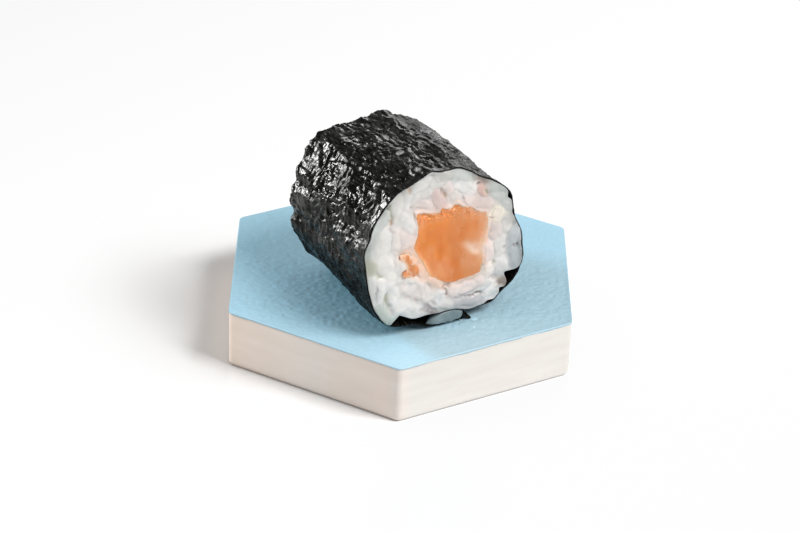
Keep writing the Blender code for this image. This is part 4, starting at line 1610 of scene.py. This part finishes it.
def core_face(angle, depth, rows, colours, with_crevices):
    """One cut face of the core, from the fillings out: x, z, depth behind the face and tint.

    Beside the salmon and at the rim it is flush. Its innermost rings slope down under the
    salmon, so that no gap shows at the salmon's ragged edge.
    """
    share = np.linspace(0.0, 1.0, FACE_STEPS)[:, None]
    reach = filling_reach(angle, depth)
    outer = rice_radius(angle, depth)
    radius = reach - UNDER_FILLING + (outer - reach + UNDER_FILLING) * share
    x, z = from_axis(angle, radius)
    shift_x, shift_z = wander(x, z)
    level, tint = packed_surface(x + shift_x, z + shift_z, rows, colours)
    level = level + CORE_BELOW_GRAINS
    tint = beside_fish_and_nori(x, z, tint, depth)
    level = level + rice_lumps(x, z)
    beside = 1.0 - smooth_step(radius - reach, *FLUSH_REACH)
    level = level + beside * (FLUSH_LEVEL - level) + UNDER_SLOPE * np.maximum(reach - radius, 0.0)
    at_rim = smooth_step(radius, outer - 0.9, outer - 0.1)
    level = level + at_rim * (RIM_LEVEL - level)
    if with_crevices:
        # The crevices add depth and painted shade.
        extra, crevice_shade, colour = crevices(x, z)
        level = level + extra + room_for_shred(x, z)
        tint = towards(tint, colour, crevice_shade)
    return x, z, level, tint


def core_grid():
    """The core's points and tints: front face, wall under the nori, back face, inner wall.

    The angles stand closer together where the hollow starts with a steep step.
    """
    angle = np.concatenate([
        np.linspace(STEP_TO - 360.0, STEP_FROM, CORE_AROUND - STEP_COLUMNS, endpoint=False),
        np.linspace(STEP_FROM, STEP_TO, STEP_COLUMNS, endpoint=False),
    ])
    x, z, level, tint = core_face(angle, 0.0, front_rows, front_colours, True)
    front = np.stack([x, level, z], axis=-1)
    x, z, level, back_tint = core_face(angle, 1.0, back_rows, back_colours, False)
    back = np.stack([x, ROLL_LENGTH - level, z], axis=-1)[::-1]
    part = 0.5 - 0.5 * np.cos(np.linspace(0.0, math.pi, WALL_STEPS + 2))[1:-1, None, None]
    outer_wall = front[-1] + (back[0] - front[-1]) * part
    clear = 1.0 - WALL_CLEARANCE * np.minimum(part * (1.0 - part) * 60.0, 1.0)
    outer_wall *= np.where([True, False, True], clear, 1.0)
    inner_wall = back[-1] + (front[0] - back[-1]) * part
    points = np.concatenate([front, outer_wall, back, inner_wall])
    plain = np.full((WALL_STEPS, CORE_AROUND, 3), 0.6)
    tints = np.concatenate([tint, plain, back_tint[::-1], plain])
    return points, tints


print("rice from the axis, left and below, in mm:", rice_radius(np.array([180, 270]), 0.0).round(1))

# %% Rice finish


def rice_finish():
    """Cooked rice: translucent white, tinted grain by grain, with a moist gloss."""
    material, shader, clouds = food_finish(
        "cooked rice", dict(scale=500.0, detail=3.0), grey(0.95), grey(1.04), 0.35 * MM,
        Subsurface_Radius=(1.3, 1.15, 1.0), Specular_IOR_Level=0.45, Coat_Weight=0.15,
        Coat_Roughness=0.12,
    )
    plug(shader, "Roughness", spread(shader, clouds, 0.30, 0.45))
    plug(shader, "Normal", add_bump(shader, clouds, 0.05 * MM, 0.5))
    return material


cooked_rice = rice_finish()
core_section, core_tints = core_grid()
core_places = on_board(sagged(core_section))
core = closed_grid("rice_core", core_places, cooked_rice, "rice", "rice", close_rows=True)
paint_points(core, core_tints.reshape(-1, 3))

# %% [markdown]
# ## One shape for every grain
#
# A cooked grain is a blunt oval, about twice as long as wide, a little bent, and pressed flat
# where it meets the knife or the nori. All grains come from one small mesh, whose points are
# worked out for every grain at once. Where a grain would stand out of the cut face it is
# squeezed back, as the knife does.

# %% Grain shape
GRAIN_BANDS = 18
GRAIN_SIDES = 20
GRAIN_TAPER = 0.12
GRAIN_BEND = 0.08
NORI_NEAR = 0.45
NORI_NEAR_BEHIND = 0.3
NORI_GIVE = 0.4


def grain_template(bands, sides):
    """Shares along a grain, -1 to 1, and round it, with the faces; both tips are one point."""
    along = -np.cos(np.linspace(0.0, math.pi, bands + 1)[1:-1])
    around = np.linspace(0.0, 2 * math.pi, sides, endpoint=False)
    u, v = np.meshgrid(along, around, indexing="ij")
    body = grid_faces(bands - 1, sides, close_columns=True)
    count = (bands - 1) * sides
    first = np.arange(sides)
    last = count - sides + first
    tips = [
        np.stack([first, np.roll(first, -1), np.full(sides, count)], axis=1),
        np.stack([np.roll(last, -1), last, np.full(sides, count + 1)], axis=1),
    ]
    u = np.concatenate([u.ravel(), [-1.0, 1.0]])
    v = np.concatenate([v.ravel(), [0.0, 0.0]])
    return u, v, body, np.concatenate(tips)


def grain_points(grains, u, v, rng):
    """Points of all grains behind the front face, shape (grains, points, 3), in the section.

    At u along the grain the half width is (1 - |u|^b)^(1/b), where b is the bluntness, and v is
    the angle round it. The spine bends by 1 - u^2, and one end is thicker than the other.
    """
    x1, z1, x2, z2, width, sunk = (grains[:, k:k + 1] for k in range(6))
    width = width * GRAIN_SWELL
    half_length = np.hypot(x2 - x1, z2 - z1) / 2 + GRAIN_TIP * width
    turn = np.arctan2(z2 - z1, x2 - x1)
    profile = np.maximum(1.0 - np.abs(u) ** BLUNTNESS, 0.0) ** (1.0 / BLUNTNESS)
    count = len(grains)
    taper = rng.uniform(-GRAIN_TAPER, GRAIN_TAPER, (count, 1))
    bend = rng.normal(0.0, GRAIN_BEND, (count, 1)) * width
    half = width / 2 * profile * (1.0 + taper * u)
    along = half_length * u
    across = half * np.cos(v) + bend * (1.0 - u**2)
    y = GRAIN_SEAT * width + sunk + half * GRAIN_FLATNESS * np.sin(v)
    x = (x1 + x2) / 2 + along * np.cos(turn) - across * np.sin(turn)
    z = (z1 + z2) / 2 + along * np.sin(turn) + across * np.cos(turn)
    return np.stack([x, y, z], axis=-1)


def pressed(points, depth):
    """Grains squeezed back from the knife and from the nori, the more the farther they go."""
    x, y, z = points[..., 0], squeezed(points[..., 1]), points[..., 2]
    angle = np.degrees(np.arctan2(z, x))
    radius = np.hypot(x, z)
    limit = rice_radius(angle, depth) - NORI_NEAR - NORI_NEAR_BEHIND * smooth_step(y, 0.3, 1.2)
    over = np.maximum(radius - limit, 0.0)
    radius = np.minimum(radius, limit) + NORI_GIVE * (1.0 - np.exp(-over / NORI_GIVE))
    x, z = from_axis(angle, radius)
    return np.stack([x, y, z], axis=-1)


print("points of one grain:", len(grain_template(GRAIN_BANDS, GRAIN_SIDES)[0]))

# %% Rice grains


def face_of_grains(rows, colours, depth, first):
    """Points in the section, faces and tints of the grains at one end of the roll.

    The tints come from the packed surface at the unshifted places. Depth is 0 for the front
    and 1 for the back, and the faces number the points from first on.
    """
    u, v, quads, tips = grain_template(GRAIN_BANDS, GRAIN_SIDES)
    points = pressed(grain_points(rows, u, v, rng), depth)
    tints = packed_surface(points[..., 0], points[..., 2], rows, colours)[1]
    tints = beside_fish_and_nori(points[..., 0], points[..., 2], tints, depth)
    points[..., [0, 2]] = wandered(points[..., [0, 2]])
    points[..., 1] += rice_lumps(points[..., 0], points[..., 2])
    if depth == 0.0:
        # The crevices add depth and painted shade.
        extra, crevice_shade, colour = crevices(points[..., 0], points[..., 2])
        points[..., 1] += extra
        tints = towards(tints, colour, crevice_shade)
    else:
        points[..., 1] = ROLL_LENGTH - points[..., 1]
    if signed_volume(points[0], quads) < 0.0:
        quads, tips = quads[:, ::-1], tips[:, ::-1]
    start = (first + np.arange(len(rows)) * points.shape[1])[:, None, None]
    faces = (quads + start).reshape(-1, 4).tolist() + (tips + start).reshape(-1, 3).tolist()
    return points.reshape(-1, 3), faces, tints.reshape(-1, 3)


front_grains, grain_faces, front_tints = face_of_grains(front_rows, front_colours, 0.0, 0)
back_grains, back_faces, back_tints = face_of_grains(
    back_rows, back_colours, 1.0, len(front_grains)
)
grain_places = on_board(sagged(np.concatenate([front_grains, back_grains])))
grain_faces += back_faces
grains = new_piece("rice_grains", grain_places, grain_faces, cooked_rice, "rice", "rice")
paint_points(grains, np.concatenate([front_tints, back_tints]))

# %% [markdown]
# ## The grain between the layers
#
# One grain slipped between the inner and the outer layer of nori when the roll was closed. It
# lies in shade and lets the dark sheet show through, so it looks blue-grey, and the knife cut
# its front off flat. It has the grains' shape, with a finish of its own.

# %% Trapped grain
TRAPPED_SIZE = (6.9, 2.6, 2.45)
TRAPPED_PLACE = (0.92, 0.85, -12.88)
TRAPPED_CUT = -0.75
TRAPPED_GRID = (25, 32)


def trapped_points():
    """A long oval, pointed and lower at its left end, blunt at its right, flat in front."""
    length, width, height = TRAPPED_SIZE
    share = -np.cos(np.linspace(0.0, math.pi, TRAPPED_GRID[0]))[:, None]
    around = np.linspace(0.0, 2 * math.pi, TRAPPED_GRID[1], endpoint=False)[None]
    blunt = np.maximum(1.0 - np.abs(share) ** 2.6, 0.0) ** 0.5
    pointed = np.maximum(1.0 - np.abs(share) ** 1.7, 0.0) ** 0.75
    profile = np.where(share < 0.0, pointed, blunt)
    x = np.broadcast_to(length / 2 * share, TRAPPED_GRID)
    y = width / 2 * profile * np.cos(around)
    y = np.where(y < TRAPPED_CUT, TRAPPED_CUT + 0.2 * (y - TRAPPED_CUT), y)
    z = height / 2 * profile * np.sin(around) - np.where(share < 0.0, 0.75, 0.25) * share**2
    points = np.stack([x, y, z], axis=-1) + np.array(TRAPPED_PLACE)
    points[..., 2] += 0.05 * uneven(points, 1.6, 95)
    return on_board(points)


def glassy_rice():
    """Rice in painted shade that lets the dark sheet show through: blue-grey, a little cloudy and
    moist.
    """
    material, shader = new_material(
        "glassy rice", Subsurface_Weight=0.3, Subsurface_Scale=0.6 * MM,
        Subsurface_Radius=(1.0, 1.0, 1.0), Specular_IOR_Level=0.5, Roughness=0.3,
    )
    places = object_places(shader)
    clouds = speckle(shader, places, 420.0, 3.0)
    # Partly the dark sheet showing through, partly painted shade.
    blue_grey, paler = (0.15, 0.205, 0.22), (0.27, 0.335, 0.345)
    plug(shader, "Base Color", ramp(shader, clouds, (0.3, blue_grey), (0.7, paler)))
    plug(shader, "Normal", add_bump(shader, clouds, 0.05 * MM, 0.5))
    return material


closed_grid("trapped_grain", trapped_points(), glassy_rice(), "rice", "seam_grain")
